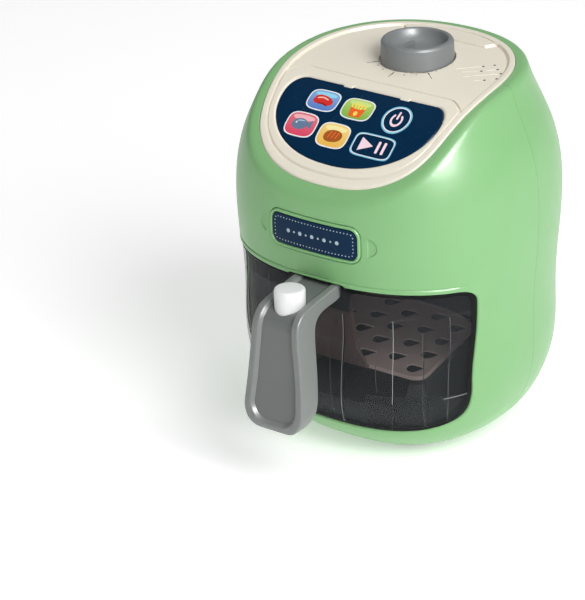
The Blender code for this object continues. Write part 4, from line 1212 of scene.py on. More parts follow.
def blob(cx, cy, pts, scale=1.0, turn=0.0):
    q = catmull(np.array(pts, float) * scale, 8, True)
    c, s = math.cos(turn), math.sin(turn)
    q = np.stack([cx + 1.12 * (q[:, 0] * c - q[:, 1] * s), cy + 0.8 * (q[:, 0] * s + q[:, 1] * c)], -1)
    area = 0.5 * np.sum(q[:, 0] * np.roll(q[:, 1], -1) - q[:, 1] * np.roll(q[:, 0], -1))
    return q if area > 0 else q[::-1]


TILES = {"blue": (-19.85, -30.85), "green": (-0.35, -31.3), "pink": (-24.15, -42.7), "yellow": (-5.3, -44.0)}
for key, (cx, cy) in TILES.items():
    ink("print_white", superellipse(cx, cy, 8.4, 5.0, 3.4), 0.03, [superellipse(cx, cy, 7.8, 4.55, 3.4)])
    ink("tile_" + key, superellipse(cx, cy, 7.8, 4.55, 3.4), 0.03)
    # a soft gloss band along the tile's far edge
    ink("gloss_" + key, superellipse(cx, cy + 2.7, 5.9, 1.1, 2.4), 0.045)

cx, cy = TILES["blue"]
ink("print_red", blob(cx, cy - 0.4, [(-4.6, 0.6), (-3.6, 2.6), (-0.8, 3.2), (2.4, 2.6), (4.6, 0.9), (4.4, -1.2), (2.2, -2.2), (-0.4, -1.7), (-2.8, -2.4), (-4.5, -1.4)], 1.0, -0.12), 0.06)
ink("print_pale", blob(cx - 0.2, cy + 0.4, [(-2.9, 0.2), (-0.6, 1.2), (2.2, 0.6), (2.0, 0.0), (-0.5, 0.4), (-2.7, -0.5)], 1.0, -0.12), 0.08)
ink("print_dark_red", blob(cx + 0.2, cy - 1.9, [(-2.2, 0.1), (0.2, 0.5), (2.6, 0.2), (2.2, -0.4), (0.0, -0.2), (-2.0, -0.5)], 1.0, -0.12), 0.08)

cx, cy = TILES["green"]
for k, (dx, h, lean) in enumerate([(-3.0, 2.7, -0.4), (-1.5, 3.4, -0.15), (-0.1, 3.7, 0.0), (1.3, 3.5, 0.12), (2.8, 2.8, 0.36)]):
    x0, y0 = cx + dx, cy - 0.6
    x1, y1 = x0 + lean * h, cy + h - 0.4
    ink("print_stick", resample(np.array([(x0 - 0.5, y0), (x0 + 0.5, y0), (x1 + 0.5, y1), (x1 - 0.5, y1)]), 0.5), 0.06 + 0.01 * (k % 2))
ink("print_orange", resample(np.array([(cx - 3.1, cy - 3.7), (cx + 3.1, cy - 3.7), (cx + 4.1, cy + 0.5), (cx + 1.6, cy - 0.1), (cx - 1.6, cy - 0.1), (cx - 4.1, cy + 0.5)]), 0.5), 0.085)
ink("print_stick", superellipse(cx, cy - 2.2, 1.1, 1.0, 2), 0.1)

cx, cy = TILES["pink"]
ink("print_slate", blob(cx - 0.7, cy, [(-3.9, 0.0), (-2.6, 2.2), (0.2, 2.9), (2.6, 1.9), (4.0, 0.2), (2.6, -1.7), (0.2, -2.7), (-2.6, -2.1)], 1.0, 0.1), 0.06)
ink("print_slate", blob(cx + 3.9, cy + 0.4, [(-1.0, 0.0), (0.9, 1.9), (1.7, 1.6), (1.2, 0.0), (1.6, -1.6), (0.8, -1.8)], 1.0, 0.1), 0.06)
ink("print_sky", blob(cx - 1.0, cy + 1.1, [(-1.9, 0.0), (0.0, 0.8), (2.1, 0.2), (0.1, 0.1)], 1.0, 0.1), 0.08)
ink("print_white", circle(cx - 2.9, cy + 0.4, 0.42, 16), 0.08)

cx, cy = TILES["yellow"]
ink("print_brown", blob(cx, cy - 0.3, [(-4.3, -0.4), (-3.4, 2.0), (-0.6, 3.0), (2.8, 2.3), (4.4, 0.2), (3.4, -2.2), (0.4, -3.0), (-3.0, -2.4)], 1.0, 0.15), 0.06)
for k, (dx, dy) in enumerate([(-1.8, 0.1), (0.2, 0.1), (2.2, 0.2)]):
    ink("print_orange", resample(capsule((cx + dx - 0.5, cy + dy - 1.2), (cx + dx + 0.4, cy + dy + 1.1), 0.32), 0.3), 0.08)

# power symbol
cx, cy = 21.5, -31.7
ink("print_ice", superellipse(cx, cy, 7.5, 6.5, 2), 0.03, [superellipse(cx, cy, 6.75, 5.85, 2)])
ink("print_white", superellipse(cx, cy, 6.75, 5.85, 2), 0.035, [superellipse(cx, cy, 6.3, 5.45, 2)])


def arc_band(cx, cy, r0, r1, a0, a1, n=40):
    t = np.linspace(math.radians(a0), math.radians(a1), n)
    out = [(cx + r1 * math.cos(q), cy + r1 * math.sin(q)) for q in t]
    out += [(cx + r0 * math.cos(q), cy + r0 * math.sin(q)) for q in t[::-1]]
    return resample(np.array(out), 0.35)


ink("print_blush", arc_band(cx, cy - 0.3, 2.15, 3.15, 128, 412), 0.045)
ink("print_blush", resample(rounded(cx - 0.5, cx + 0.5, cy - 0.1, cy + 3.7, 0.4), 0.3), 0.055)

# play and pause
cx, cy = 17.0, -44.5
ink("print_ice", superellipse(cx, cy, 11.0, 4.7, 5.0), 0.03, [superellipse(cx, cy, 10.45, 4.3, 5.0)])
ink("print_white", superellipse(cx, cy, 10.45, 4.3, 5.0), 0.035, [superellipse(cx, cy, 10.15, 4.05, 5.0)])
ink("print_blush", resample(np.array([(cx - 7.0, cy - 2.7), (cx + 0.2, cy), (cx - 7.0, cy + 2.7)]), 0.4), 0.045)
for x in (cx + 2.9, cx + 6.0):
    ink("print_blush", resample(rounded(x - 0.7, x + 0.7, cy - 2.4, cy + 2.4, 0.35), 0.35), 0.045)

# faint honeycomb behind the symbols
for i in range(-9, 10):
    for j in range(-8, 9):
        hx, hy = i * 5.0, -37.5 + j * 5.8 + (2.9 if i % 2 else 0)
        hexagon = np.array([(hx + 2.6 * math.cos(q), hy + 2.6 * math.sin(q)) for q in np.linspace(0, 2 * math.pi, 7)[:-1]])
        core = np.array([(hx + 2.25 * math.cos(q), hy + 2.25 * math.sin(q)) for q in np.linspace(0, 2 * math.pi, 7)[:-1]])
        if inside(lens_outline(-1.6, 1.5), hexagon).all():
            ink("print_night", hexagon, 0.012, [core])

INKS = {
    "print_white": plastic("ink_white", srgb(238, 240, 244), 0.2, 0.01, 0.03, grain=1200, grain_depth=0.000003, specular=0.15),
    "print_ice": plastic("ink_ice", srgb(130, 200, 226), 0.2, 0.02, 0.03, grain=1200, grain_depth=0.000003, specular=0.15),
    "print_blush": plastic("ink_blush", srgb(250, 222, 232), 0.2, 0.02, 0.03, grain=1200, grain_depth=0.000003, specular=0.15),
    "print_night": plastic("ink_night", srgb(3, 45, 76), 0.2, 0.05, 0.03, grain=1200, grain_depth=0.000003, specular=0.15),
    "print_red": plastic("ink_red", srgb(214, 52, 48), 0.2, 0.08, 0.03, grain=1200, grain_depth=0.000003, specular=0.15),
    "print_dark_red": plastic("ink_dark_red", srgb(150, 24, 30), 0.2, 0.08, 0.03, grain=1200, grain_depth=0.000003, specular=0.15),
    "print_pale": plastic("ink_pale", srgb(250, 196, 180), 0.2, 0.05, 0.03, grain=1200, grain_depth=0.000003, specular=0.15),
    "print_stick": plastic("ink_stick", srgb(252, 224, 92), 0.2, 0.05, 0.03, grain=1200, grain_depth=0.000003, specular=0.15),
    "print_orange": plastic("ink_orange", srgb(238, 104, 48), 0.2, 0.06, 0.03, grain=1200, grain_depth=0.000003, specular=0.15),
    "print_slate": plastic("ink_slate", srgb(104, 128, 158), 0.2, 0.08, 0.03, grain=1200, grain_depth=0.000003, specular=0.15),
    "print_sky": plastic("ink_sky", srgb(176, 204, 226), 0.2, 0.04, 0.03, grain=1200, grain_depth=0.000003, specular=0.15),
    "print_brown": plastic("ink_brown", srgb(168, 92, 40), 0.2, 0.08, 0.03, grain=1200, grain_depth=0.000003, specular=0.15),
    "tile_blue": tile_paint("ink_tile_blue", srgb(84, 120, 200), srgb(140, 186, 226), -36.5, -25.0),
    "tile_green": tile_paint("ink_tile_green", srgb(112, 176, 62), srgb(196, 220, 120), -37.2, -25.6),
    "tile_pink": tile_paint("ink_tile_pink", srgb(224, 60, 96), srgb(226, 128, 140), -48.4, -36.8),
    "tile_yellow": tile_paint("ink_tile_yellow", srgb(236, 180, 70), srgb(252, 224, 140), -49.8, -38.1),
    "gloss_blue": plastic("ink_gloss_blue", srgb(150, 216, 242), 0.2, 0.03, 0.03, grain=1200, grain_depth=0.000003, specular=0.15),
    "gloss_green": plastic("ink_gloss_green", srgb(200, 230, 150), 0.2, 0.03, 0.03, grain=1200, grain_depth=0.000003, specular=0.15),
    "gloss_pink": plastic("ink_gloss_pink", srgb(248, 184, 190), 0.2, 0.03, 0.03, grain=1200, grain_depth=0.000003, specular=0.15),
    "gloss_yellow": plastic("ink_gloss_yellow", srgb(254, 236, 168), 0.2, 0.03, 0.03, grain=1200, grain_depth=0.000003, specular=0.15),
}
for key, shapes in layers.items():
    parts = []
    for outline, holes, level in shapes:
        parts.append(deck_piece("ink", outline, PRINT_TOP + level, PRINT_TOP - 0.05, 0.0, 2.4, holes))
    piece(join_meshes(key, parts, 0), "housing", "lens_navy", material=INKS[key])

# badge: a generic dotted border and a plain row of dots
BADGE_INK = plastic("ink_badge", srgb(176, 196, 206), 0.25, 0.03, 0.04, grain=1200, grain_depth=0.000003, specular=0.15)
parts = []
ring = resample(badge_outline(-1.7, 0.2), 1.75)
for x, z in ring:
    parts.append(front_sheet("dot", circle(x, z, 0.3, 12), -0.38, -0.30, 0.0, 1.0))
for k in range(-4, 5):
    parts.append(front_sheet("dot", circle(k * 3.4, EAR_Z, 0.95 if k % 2 == 0 else 0.5, 24), -0.38, -0.30, 0.0, 1.0))
piece(join_meshes("badge_dots", parts, 0), "housing", "lens_navy", material=BADGE_INK)

# dial scale, and dark discs in the groove-end pits that are painted shade
parts = []
for k, deg in enumerate([-139, -127, -111.4, -91.6, -74.3, -57.2, -40.6, -28.6]):
    a = math.radians(deg)
    long = k in (0, 3, 6)
    r1 = (23.5, 0, 0, 22.6, 0, 0, 25.2)[k] if long else 19.6
    u = np.array([math.cos(a), math.sin(a)])
    centre = np.array([DIAL_X, DIAL_Y])
    if long:
        parts.append(deck_piece("tick", resample(capsule(centre + u * 18.6, centre + u * 20.6, 0.27), 0.25), MID + 0.035, MID - 0.1, 0.0, 1.0))
        parts.append(deck_piece("tick", resample(capsule(centre + u * 20.6, centre + u * r1, 0.15), 0.25), MID + 0.03, MID - 0.1, 0.0, 1.0))
    else:
        parts.append(deck_piece("tick", resample(capsule(centre + u * 18.8, centre + u * r1, 0.17), 0.25), MID + 0.035, MID - 0.1, 0.0, 1.0))
# dark discs low in the groove-end pits: painted shade, in the same ink as the printed ticks
parts += [deck_piece("hole", circle(b[0] - 0.1, b[1] - 0.1, 0.36, 16), MID - 0.55, MID - 0.75, 0.0, 1.0) for a, b in GROOVES]
SCALE_INK_AND_PIT_SHADE = plastic("ink_scale_and_pit_shade", srgb(58, 56, 54), 0.4, 0.05, 0.05, grain=1200, grain_depth=0.000003, specular=0.15)
piece(join_meshes("dial_scale_and_pit_shade", parts, 0), "housing", "deck_cream", material=SCALE_INK_AND_PIT_SHADE)

# ---------------------------------------------------------------- dial
POINTER = math.radians(270)
DIAL_H = 8.62


def build_dial():
    R = 14.9
    disc = circle(0, 0, R, 180)
    rings = [circle(0, 0, r, max(24, int(r * 9))) for r in (14.7, 14.5, 14.25, 13.9, 13.4, 12.7, 11.8, 10.6, 9.0)]
    u = np.array([math.cos(POINTER), math.sin(POINTER)])
    v = np.array([-u[1], u[0]])
    rib = resample(np.array([u * 3.4 - v * 1.25, u * 14.0 - v * 1.25, u * 14.0 + v * 1.25, u * 3.4 + v * 1.25]), 0.4)
    P, T, loops = mesh_plane(disc, [], rings + around(rib, (0.4, 0.2, 0.05, -0.1, -0.3)), [], 1.4, 0.3)
    r = np.hypot(P[:, 0], P[:, 1])
    level = np.interp(r, [0, 6, 9.0, 10.6, 11.8, 12.7, 13.4, 13.9, 14.25, 14.5, 14.7, 14.9],
                      [2.7, 2.75, 3.1, 3.7, 4.6, 5.7, 6.9, 7.9, 8.38, 8.57, 8.62, 8.62])
    dr = signed(rib, P)
    up = ease((0.3 - dr) / 0.45)
    level = np.maximum(level, level + (DIAL_H - 0.35 - level) * up)

    def place(q, hgt):
        return np.stack([DIAL_BASE[0] + q[:, 0], DIAL_BASE[1] + q[:, 1], DIAL_BASE[2] + hgt], -1)

    rim = P[loops[0]] / R
    side = fillet([(R, DIAL_H), (16.3, DIAL_H - 0.3), (17.0, DIAL_H - 1.3), (17.2, -1.0), (17.2, -2.25), (16.3, -2.25), (16.1, 1.9)],
                  [0.8, 0.8, 0.0, 0.2, 0.2], 7)[1:]

    def rows(k):
        return [place(rim * rr, np.full(len(rim), hh)) for rr, hh in side]

    return solid_sheet("dial_cap", P, T, loops, place(P, level), place(P, np.full(len(P), 1.9)), rows, smooth=40)


piece(build_dial(), "dial_body", "dial_grey", "dial")

# ---------------------------------------------------------------- handle
HANDLE_HALF_TOP, HANDLE_HALF_LOW, HANDLE_LOW_Z = 12.4, 16.4, 29.2
BUTTON_R, BUTTON_Y, BUTTON_TOP = 7.2, -86.4, 96.3
HANDLE_TOP = [(-63.4, 93.0), (-67.0, 92.9), (-88.6, 89.6), (-94.0, 87.8), (-97.6, 84.0), (-98.8, 79.0), (-99.6, 55.0), (-101.9, 38.0),
              (-102.3, 34.0), (-101.6, 30.6), (-99.6, HANDLE_LOW_Z)]
HANDLE_BACK = [(-96.6, 30.2), (-92.6, 34.0), (-89.6, 39.0), (-87.8, 45.0), (-86.6, 56.0), (-85.4, 74.0), (-84.4, 79.8), (-81.8, 83.0),
               (-77.5, 84.6), (-63.4, 86.0)]
CHANNEL = [(-60, 100), (-110, 100), (-130, 60), (-130, 28), (-101.0, 28.0), (-95.2, 37.0), (-91.2, 42.0), (-89.6, 47.0), (-88.6, 56.0),
           (-87.4, 73.0), (-86.3, 79.0), (-83.2, 82.0), (-78.4, 85.4), (-60.0, 87.2)]


def handle_half(z):
    f = min(max((88.0 - z) / 48.0, 0.0), 1.0)
    f = f * f * (3 - 2 * f) * 0.5 + f * 0.5
    return HANDLE_HALF_TOP + (HANDLE_HALF_LOW - HANDLE_HALF_TOP) * f


def front_view(inset, low, top, radius):
    out = []
    h_low = HANDLE_HALF_LOW - inset
    for k in range(25):
        a = math.radians(-90 + 90 * k / 24)
        out.append((h_low - radius + radius * math.cos(a), low + radius + radius * math.sin(a)))
    for z in np.arange(low + radius + 3, top, 3.0):
        out.append((handle_half(z) - inset, z))
    out.append((handle_half(top) - inset, top))
    return np.array(out + [(-x, z) for x, z in reversed(out)])


def smooth_profile(points, times=2, share=0.2):
    """Corner cutting of a closed profile."""
    p = np.asarray(points, float)
    for _ in range(times):
        a, b = p, np.roll(p, -1, 0)
        p = np.stack([(1 - share) * a + share * b, share * a + (1 - share) * b], 1).reshape(-1, 2)
    return p


def build_handle():
    side = outline_field(smooth_profile(HANDLE_TOP + HANDLE_BACK))
    face = outline_field(front_view(0.0, HANDLE_LOW_Z - 0.4, 104, 12.5))
    groove = outline_field(smooth_profile(CHANNEL))
    groove_face = outline_field(front_view(3.5, 33.2, 104, 9.2))

    def field(x, y, z):
        body = inter_round(side(y, z), face(x, z), 0.9)
        depth = np.clip(-side(y, z), 0.0, 1.9)
        room = inter_round(groove(y, z), groove_face(x, z) + 0.8 * depth, 0.4)
        body = cut_round(body, room, 0.4)
        return np.maximum(body, (y + 63.4))

    return surface_net("handle_channel", field, (-18.5, -104.5, 27.0), (18.5, -62.4, 95.0), 0.4, 40)


def build_insert():
    profile = [(-63.8, 91.5), (-67.0, 91.4), (-88.0, 88.0), (-92.8, 86.4), (-96.0, 83.2), (-97.1, 78.8), (-97.9, 55.0), (-99.9, 40.0),
               (-100.5, 33.0), (-99.0, 33.0), (-98.4, 40.2), (-96.3, 55.0), (-95.5, 78.3), (-94.5, 82.2), (-92.0, 84.9), (-87.6, 86.4),
               (-74.0, 89.55), (-67.0, 90.75), (-63.8, 90.85)]
    side = outline_field(smooth_profile(profile, times=2, share=0.12))
    face = outline_field(front_view(4.5, 34.0, 104, 8.6))

    def field(x, y, z):
        body = inter_round(side(y, z), face(x, z), 0.3)
        bore = np.hypot(x, y - BUTTON_Y) - (BUTTON_R + 0.3)
        return np.maximum(cut_round(body, bore, 0.25), y + 63.8)

    return surface_net("handle_cover", field, (-14.5, -102.0, 31.5), (14.5, -62.8, 93.0), 0.34, 40)


piece(build_handle(), "drawer", "handle_grey", "handle_body")
COVER = plastic("grey_handle_cover", srgb(106, 110, 109), 0.42, 0.03, 0.06, grain=3000, grain_depth=0.00002, edge=0.08)
piece(build_insert(), "drawer", "handle_grey", "handle_insert", material=COVER)


def build_button():
    seg = 96
    a = np.linspace(0, 2 * math.pi, seg, endpoint=False)
    prof = fillet([(0.0, BUTTON_TOP), (BUTTON_R, BUTTON_TOP - 0.12), (BUTTON_R, 90.0)], [1.6], 8)
    rows = [np.stack([r * np.cos(a), BUTTON_Y + r * np.sin(a), np.full(seg, z)], -1) for r, z in prof[1:]]
    rows.insert(0, np.stack([3.0 * np.cos(a), BUTTON_Y + 3.0 * np.sin(a), np.full(seg, BUTTON_TOP)], -1))

    def under(r):
        y = BUTTON_Y + r * np.sin(a)
        z = np.where(y < -92.2, 80.8, np.where(y < -84.5, 84.0, 86.4 + (y + 84.5) / 14.5 * 4.0))
        z = np.where((np.abs(r * np.cos(a)) < 4.3) & (y > BUTTON_Y), 90.3, z)
        return np.stack([r * np.cos(a), y, z], -1)

    rows += [under(BUTTON_R), under(BUTTON_R - 0.8)]
    hollow = under(BUTTON_R - 0.8)
    hollow[:, 2] = 92.5
    rows.append(hollow)
    cap = grid_solid("button_cap", rows, False, 35)
    stem = lathe("stem", [(0, 82.6), (1.7, 82.6), (2.0, 82.9), (2.0, 93.0), (0, 93.0)], (0, -89.5, 0), seg=32)
    return join_meshes("release_button_cap", [cap, stem], 35)


piece(build_button(), "button", "button_white", "release_button")

# ---------------------------------------------------------------- window, tray


def build_window():
    raw = opening_outline(0.6, 0.8)
    # notch for the handle's arm in the top edge
    keep = ~((np.abs(raw[:, 0]) < 13.0) & (raw[:, 1] > 85.4))
    order = np.roll(np.arange(len(raw)), -int(np.argmax(~keep & np.roll(keep, 1))))
    ring = raw[order]
    kept = ring[keep[order]]
    notch = [(13.0, 92.4), (13.0, 86.0), (12.4, 85.4), (0, 85.4), (-12.4, 85.4), (-13.0, 86.0), (-13.0, 92.4)]
    notch = resample(np.array(notch), 1.0, closed=False)
    loop = np.vstack([kept, notch])
    uv = np.stack([ARC * theta_front(loop[:, 0], loop[:, 1], 0.5), loop[:, 1]], -1)
    uv = resample(uv, 1.0)
    lines = around(uv, (-0.12, -0.35, -0.7))
    P, T, loops = mesh_plane(uv, [], lines, [], 3.0, 0.6)
    d = curl(distance(uv, P), 0.6)
    top = wall(P[:, 0] / ARC, P[:, 1], 0.5 + d)
    x = np.clip(top[:, 0], -66.5, 66.5)
    bottom = wall(theta_front(x, P[:, 1], 2.6), P[:, 1], 2.6)
    return solid_sheet("drawer_window_pane", P, T, loops, top, bottom, smooth=38)


piece(build_window(), "drawer", "window_smoke", "drawer_window")


def on_window(name, outline, top, bottom):
    """A thin strip that follows the pane."""
    P, T, loops = mesh_plane(outline, [], [], [], 2.4, 1.2)
    a = wall(theta_front(P[:, 0], P[:, 1], top), P[:, 1], top)
    b = wall(theta_front(P[:, 0], P[:, 1], bottom), P[:, 1], bottom)
    return solid_sheet(name, P, T, loops, a, b)


def window_border():
    """The dark edge round the pane, open where the handle's arm passes."""
    paths = []
    for inset in (0.75, 1.75):
        ring = opening_outline(inset, 0.9)
        free = ~((np.abs(ring[:, 0]) < 14.0) & (ring[:, 1] > 85))
        first = int(np.argmax(~free & np.roll(free, 1)))
        order = np.roll(np.arange(len(ring)), -first)
        paths.append(ring[order][free[order]])
    return np.vstack([paths[0], paths[1][::-1]])


def strip(points, half):
    line = resample(catmull(points, 6), 1.2, closed=False)
    return np.vstack([offset_line(line, half), offset_line(line, -half)[::-1]])[::-1]


def widthwise(points, half):
    q = strip(points, half)
    area = 0.5 * np.sum(q[:, 0] * np.roll(q[:, 1], -1) - q[:, 1] * np.roll(q[:, 0], -1))
    return q if area > 0 else q[::-1]


BORDER = plastic("window_edge", srgb(8, 9, 10), 0.4, 0.05, 0.05, grain=1200, grain_depth=0.0, specular=0.12)
# pale and dim strips on the pane are painted highlights, the glints of ribs and edges inside the drawer; the dark
# strips are painted shade beside them and in a slit near the left edge
LINE_GLINT = plastic("window_painted_glint", srgb(168, 172, 172), 0.25, 0.06, 0.05, grain=1200, grain_depth=0.000002, alpha=0.8)
LINE_FAINT_GLINT = plastic("window_painted_faint_glint", srgb(98, 101, 102), 0.25, 0.06, 0.05, grain=1200, grain_depth=0.000002, alpha=0.55)
LINE_SHADE = plastic("window_painted_shade", srgb(20, 22, 23), 0.3, 0.06, 0.05, grain=1200, grain_depth=0.000002, alpha=0.85)
PANEL = plastic("window_panel", srgb(96, 98, 99), 0.5, 0.05, 0.04, grain=300, grain_depth=0.0, alpha=0.22)
piece(on_window("window_border", window_border(), 0.42, 0.5), "drawer", "window_smoke", material=BORDER)
pale = [widthwise([(37.9, 79.0), (37.8, 60.0), (37.2, 44.0), (36.2, 36.0)], 0.1), widthwise([(14.0, 79.0), (14.0, 64.0), (12.2, 42.0), (8.6, 20.0)], 0.09),
        widthwise([(55.8, 38.8), (59.5, 39.4), (62.6, 40.0)], 0.13)]
dim = [widthwise([(58.6, 80.4), (58.4, 60.0), (57.2, 39.0), (54.3, 25.0)], 0.08), widthwise([(49.3, 74.0), (49.3, 52.0), (48.4, 36.0), (46.2, 22.0)], 0.07),
       widthwise([(37.9, 79.2), (43.0, 80.0), (49.0, 80.6)], 0.08), widthwise([(58.2, 80.8), (61.0, 81.2), (64.2, 81.8)], 0.1),
       widthwise([(30.0, 60.0), (30.0, 42.0)], 0.1), widthwise([(7.6, 63.0), (5.0, 24.0)], 0.1), widthwise([(-30.0, 88.0), (-30.0, 34.0)], 0.12)]
dark = [widthwise([(36.2, 35.4), (34.6, 27.0), (32.2, 19.6)], 0.2), widthwise([(14.6, 78.0), (14.6, 64.0), (12.9, 42.0), (9.3, 20.0)], 0.16),
        widthwise([(-52.0, 81.5), (-50.6, 66.0), (-48.6, 50.0)], 0.5), widthwise([(49.8, 73.0), (49.8, 52.0), (48.9, 36.0), (46.7, 22.0)], 0.12)]
for name, group, mat in (("window_glint_lines", pale, LINE_GLINT), ("window_faint_glint_lines", dim, LINE_FAINT_GLINT), ("window_shade_lines", dark, LINE_SHADE)):
    piece(join_meshes(name, [on_window("line", q, 0.4, 0.5) for q in group], 35), "drawer", "window_smoke", material=mat)
low_panel = resample(np.array([(23.0, 38.7), (20.2, 20.6), (40.0, 20.8), (50.0, 22.9), (56.0, 26.0), (60.0, 31.0), (62.0, 39.4), (45.0, 39.0)]), 1.2)
piece(on_window("window_low_panel", low_panel[::-1] if 0.5 * np.sum(low_panel[:, 0] * np.roll(low_panel[:, 1], -1) - low_panel[:, 1] * np.roll(low_panel[:, 0], -1)) < 0 else low_panel,
                2.65, 3.0), "drawer", "window_smoke", material=PANEL)
# a pale translucent sheet left of the handle: painted reflection, the grey sheen the pane shows there at a grazing
# angle
left_reflection = resample(np.array([(-57.0, 31.0), (-20.0, 22.0), (-18.0, 84.0), (-60.0, 79.0), (-60.5, 55.0)]), 1.2)
SIDE_REFLECTION = plastic("window_side_reflection", srgb(128, 131, 132), 0.5, 0.05, 0.04, grain=300, grain_depth=0.0, alpha=0.3, specular=0.1)
piece(on_window("window_side_reflection", left_reflection, 2.65, 3.0), "drawer", "window_smoke", material=SIDE_REFLECTION)

TRAY_Z, TRAY_T = 46.4, 2.0
TRAY_PLAN = [(44.6, -50), (46.6, -48), (35.8, 8), (34.2, 12), (31, 15.5), (20, 20.5), (8, 22.4), (-8, 22.4), (-20, 20.5), (-31, 15.5),
             (-34.2, 12), (-35.8, 8), (-46.6, -48), (-44.6, -50)]
HOLE_FIRST, HOLE_ROW, HOLE_COLUMN, HOLE_STAGGER, HOLE_TURN = (35.9, -41.7), (-14.35, 0.9), (-2.85, 15.8), 5.5, math.radians(37)


def teardrop(x, y, r, length, turn):
    out = []
    start = math.acos(r / length)
    for k in range(25):
        a = start + (2 * math.pi - 2 * start) * k / 24
        out.append((r * math.cos(a), 1.65 * r * math.sin(a)))
    out = np.array(out + [(length - 0.3, -0.2), (length - 0.05, 0.0), (length - 0.3, 0.2)])
    c, s = math.cos(turn), math.sin(turn)
    return resample(np.stack([x + c * out[:, 0] - s * out[:, 1], y + s * out[:, 0] + c * out[:, 1]], -1), 0.42)


def build_tray():
    plan = [(0, -50), (46.9, -50), (35.8, 8), (34.2, 12), (31, 15.5), (20, 20.5), (8, 22.4)]
    plan = plan + [(-x, y) for x, y in reversed(plan)]
    outer = resample(np.array(fillet(plan, [7, 2, 2, 3, 4, 4, 4, 4, 3, 2, 2, 7], 8))[:-1], 0.9)
    holes = []
    for i in range(6):
        for j in range(4):
            hx = HOLE_FIRST[0] + i * HOLE_ROW[0] + j * HOLE_COLUMN[0]
            hy = HOLE_FIRST[1] + i * HOLE_ROW[1] + j * HOLE_COLUMN[1] + (HOLE_STAGGER if i % 2 else 0.0)
            half = float(np.interp(hy + 3.4 if hx > 0 else hy, [-48, 8, 22.4], [46.6, 35.8, 6.0]))
            if abs(hx) + (4.5 if hx > 0 else 2.8) < half - 1.2 and hy < 15.6:
                holes.append(teardrop(hx, hy, 2.6, 6.5, HOLE_TURN))
    lines = around(outer, (-0.15, -0.45, -0.9, -1.5, -1.9))
    for q in holes:
        lines += around(q, (0.15, 0.4))
    P, T, loops = mesh_plane(outer, holes, lines, [], 2.6, 0.5)
    do = distance(outer, P)
    level = TRAY_Z + TRAY_T - curl(do, 0.6) - 0.35 * ease((do - 1.5) / 0.5)
    for q in holes:
        level = level - curl(distance(q, P), 0.4)
    top = np.concatenate([P, level[:, None]], 1)
    bottom = np.concatenate([P, (TRAY_Z + 1.0 * ease((do - 1.9) / 1.0))[:, None]], 1)
    plate = solid_sheet("tray_plate", P, T, loops, top, bottom)
    prof = fillet([(-48.5, TRAY_Z + 0.1), (-51.5, TRAY_Z + 0.1), (-58.0, 60.0), (-58.3, 87.3), (-56.5, 87.3), (-56.3, 60.6), (-50.6, TRAY_Z + TRAY_T - 0.2),
                   (-48.5, TRAY_Z + TRAY_T - 0.2)], [1.0, 3.0, 0.5, 0.5, 3.0, 1.0], 6)
    prof = np.array(prof)
    rows = []
    for x, shrink in ((-17.5, 0.35), (-17.35, 0.12), (-17.0, 0.0), (-8, 0.0), (0, 0.0), (8, 0.0), (17.0, 0.0), (17.35, 0.12), (17.5, 0.35)):
        q = offset(prof, shrink) if shrink else prof
        narrow = 1 - 0.3 * np.clip((q[:, 1] - 52) / 35, 0, 1)
        rows.append(np.stack([x * narrow, q[:, 0], q[:, 1]], -1))
    return plate, grid_solid("tray_tongue", rows, False, 35)


tray_plate, tray_tongue = build_tray()
# the tongue glows faintly: painted light for the dim inside of the drawer
TONGUE = plastic("brown_tongue_painted_glow", srgb(128, 108, 102), 0.35, 0.05, 0.08, grain=3000, grain_depth=0.0, glow=0.02)
piece(tray_plate, "tray", "tray_brown", "fry_tray")
piece(tray_tongue, "tray", "tray_brown", material=TONGUE)

# ---------------------------------------------------------------- feet, with a rounded foot and a fine ring
for name, x, y in (("foot_front_left", -23, -24), ("foot_front_right", 23, -24), ("foot_rear_left", -23, 24), ("foot_rear_right", 23, 24)):
    foot = lathe(name + "_pad", fillet([(0, 0.12), (3.2, 0.12), (3.5, 0.0), (5.0, 0.0), (5.5, 0.6), (5.5, 3.9), (0, 3.9)], [0.1, 0.1, 0.3, 0.3, 0.2], 4),
                 (x, y, 0), seg=64)
    piece(foot, "housing", "foot_rubber", name)

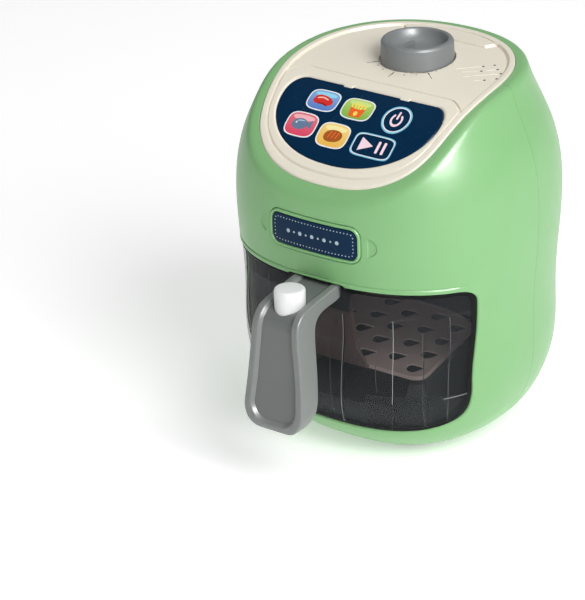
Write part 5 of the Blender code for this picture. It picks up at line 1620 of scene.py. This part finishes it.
# ---------------------------------------------------------------- floor, light and camera
floor_mesh = bpy.data.meshes.new("floor")
floor_mesh.from_pydata([(-6, -6, 0), (6, -6, 0), (6, 6, 0), (-6, 6, 0)], [], [(0, 1, 2, 3)])
floor = bpy.data.objects.new("floor", floor_mesh)
bpy.context.scene.collection.objects.link(floor)
floor_mesh.materials.append(plastic("pale_floor", (0.90, 0.90, 0.90), 0.9, 0.004, 0.02, grain=400, grain_depth=0.00001, glow=0.42))

scene = bpy.context.scene
world = bpy.data.worlds.new("studio")
scene.world = world
world.use_nodes = True
world.node_tree.nodes["Background"].inputs["Color"].default_value = (1, 1, 1, 1)
world.node_tree.nodes["Background"].inputs["Strength"].default_value = 0.22


def softbox(name, at, target, size, power, size_y=None):
    data = bpy.data.lights.new(name, "AREA")
    data.shape = "RECTANGLE"
    data.size = size
    data.size_y = size_y or size
    data.energy = power
    ob = bpy.data.objects.new(name, data)
    ob.location = at
    ob.rotation_euler = (Vector(target) - Vector(at)).to_track_quat("-Z", "Y").to_euler()
    scene.collection.objects.link(ob)
    return ob


softbox("key", (1.35, -0.5, 1.2), (0, 0, 0.08), 1.0, 27)
sparkle = softbox("sparkle", (1.3, -0.7, 1.05), (0, 0, 0.1), 0.75, 85)
sparkle.visible_diffuse = False
softbox("fill", (-0.6, -1.6, 0.9), (0, 0, 0.08), 1.2, 0.5)
softbox("top", (0.0, 0.4, 1.9), (0, 0, 0.1), 1.4, 8.5)

az, el, roll = math.radians(37.1083), math.radians(24.1469), -0.023944
right = Vector((math.cos(az), math.sin(az), 0))
up = Vector((-math.sin(az) * math.sin(el), math.cos(az) * math.sin(el), math.cos(el)))
back = Vector((math.sin(az) * math.cos(el), -math.cos(az) * math.cos(el), math.sin(el)))
r2 = right * math.cos(roll) + up * math.sin(roll)
u2 = up * math.cos(roll) - right * math.sin(roll)
cam_data = bpy.data.cameras.new("camera")
cam_data.sensor_width = 36.0
cam_data.sensor_fit = "AUTO"
cam_data.lens = 3182.12 * 36.0 / 600.0
cam_data.clip_start = 0.05
cam_data.clip_end = 50
cam = bpy.data.objects.new("camera", cam_data)
m = Matrix.Identity(4)
for i in range(3):
    m[i][0], m[i][1], m[i][2] = r2[i], u2[i], back[i]
m.translation = Vector((0.792106, (-1131.495 + Y_SHIFT) * MM, 0.677944))
cam.matrix_world = m
scene.collection.objects.link(cam)
scene.camera = cam
scene.view_settings.view_transform = "Standard"
scene.view_settings.look = "None"
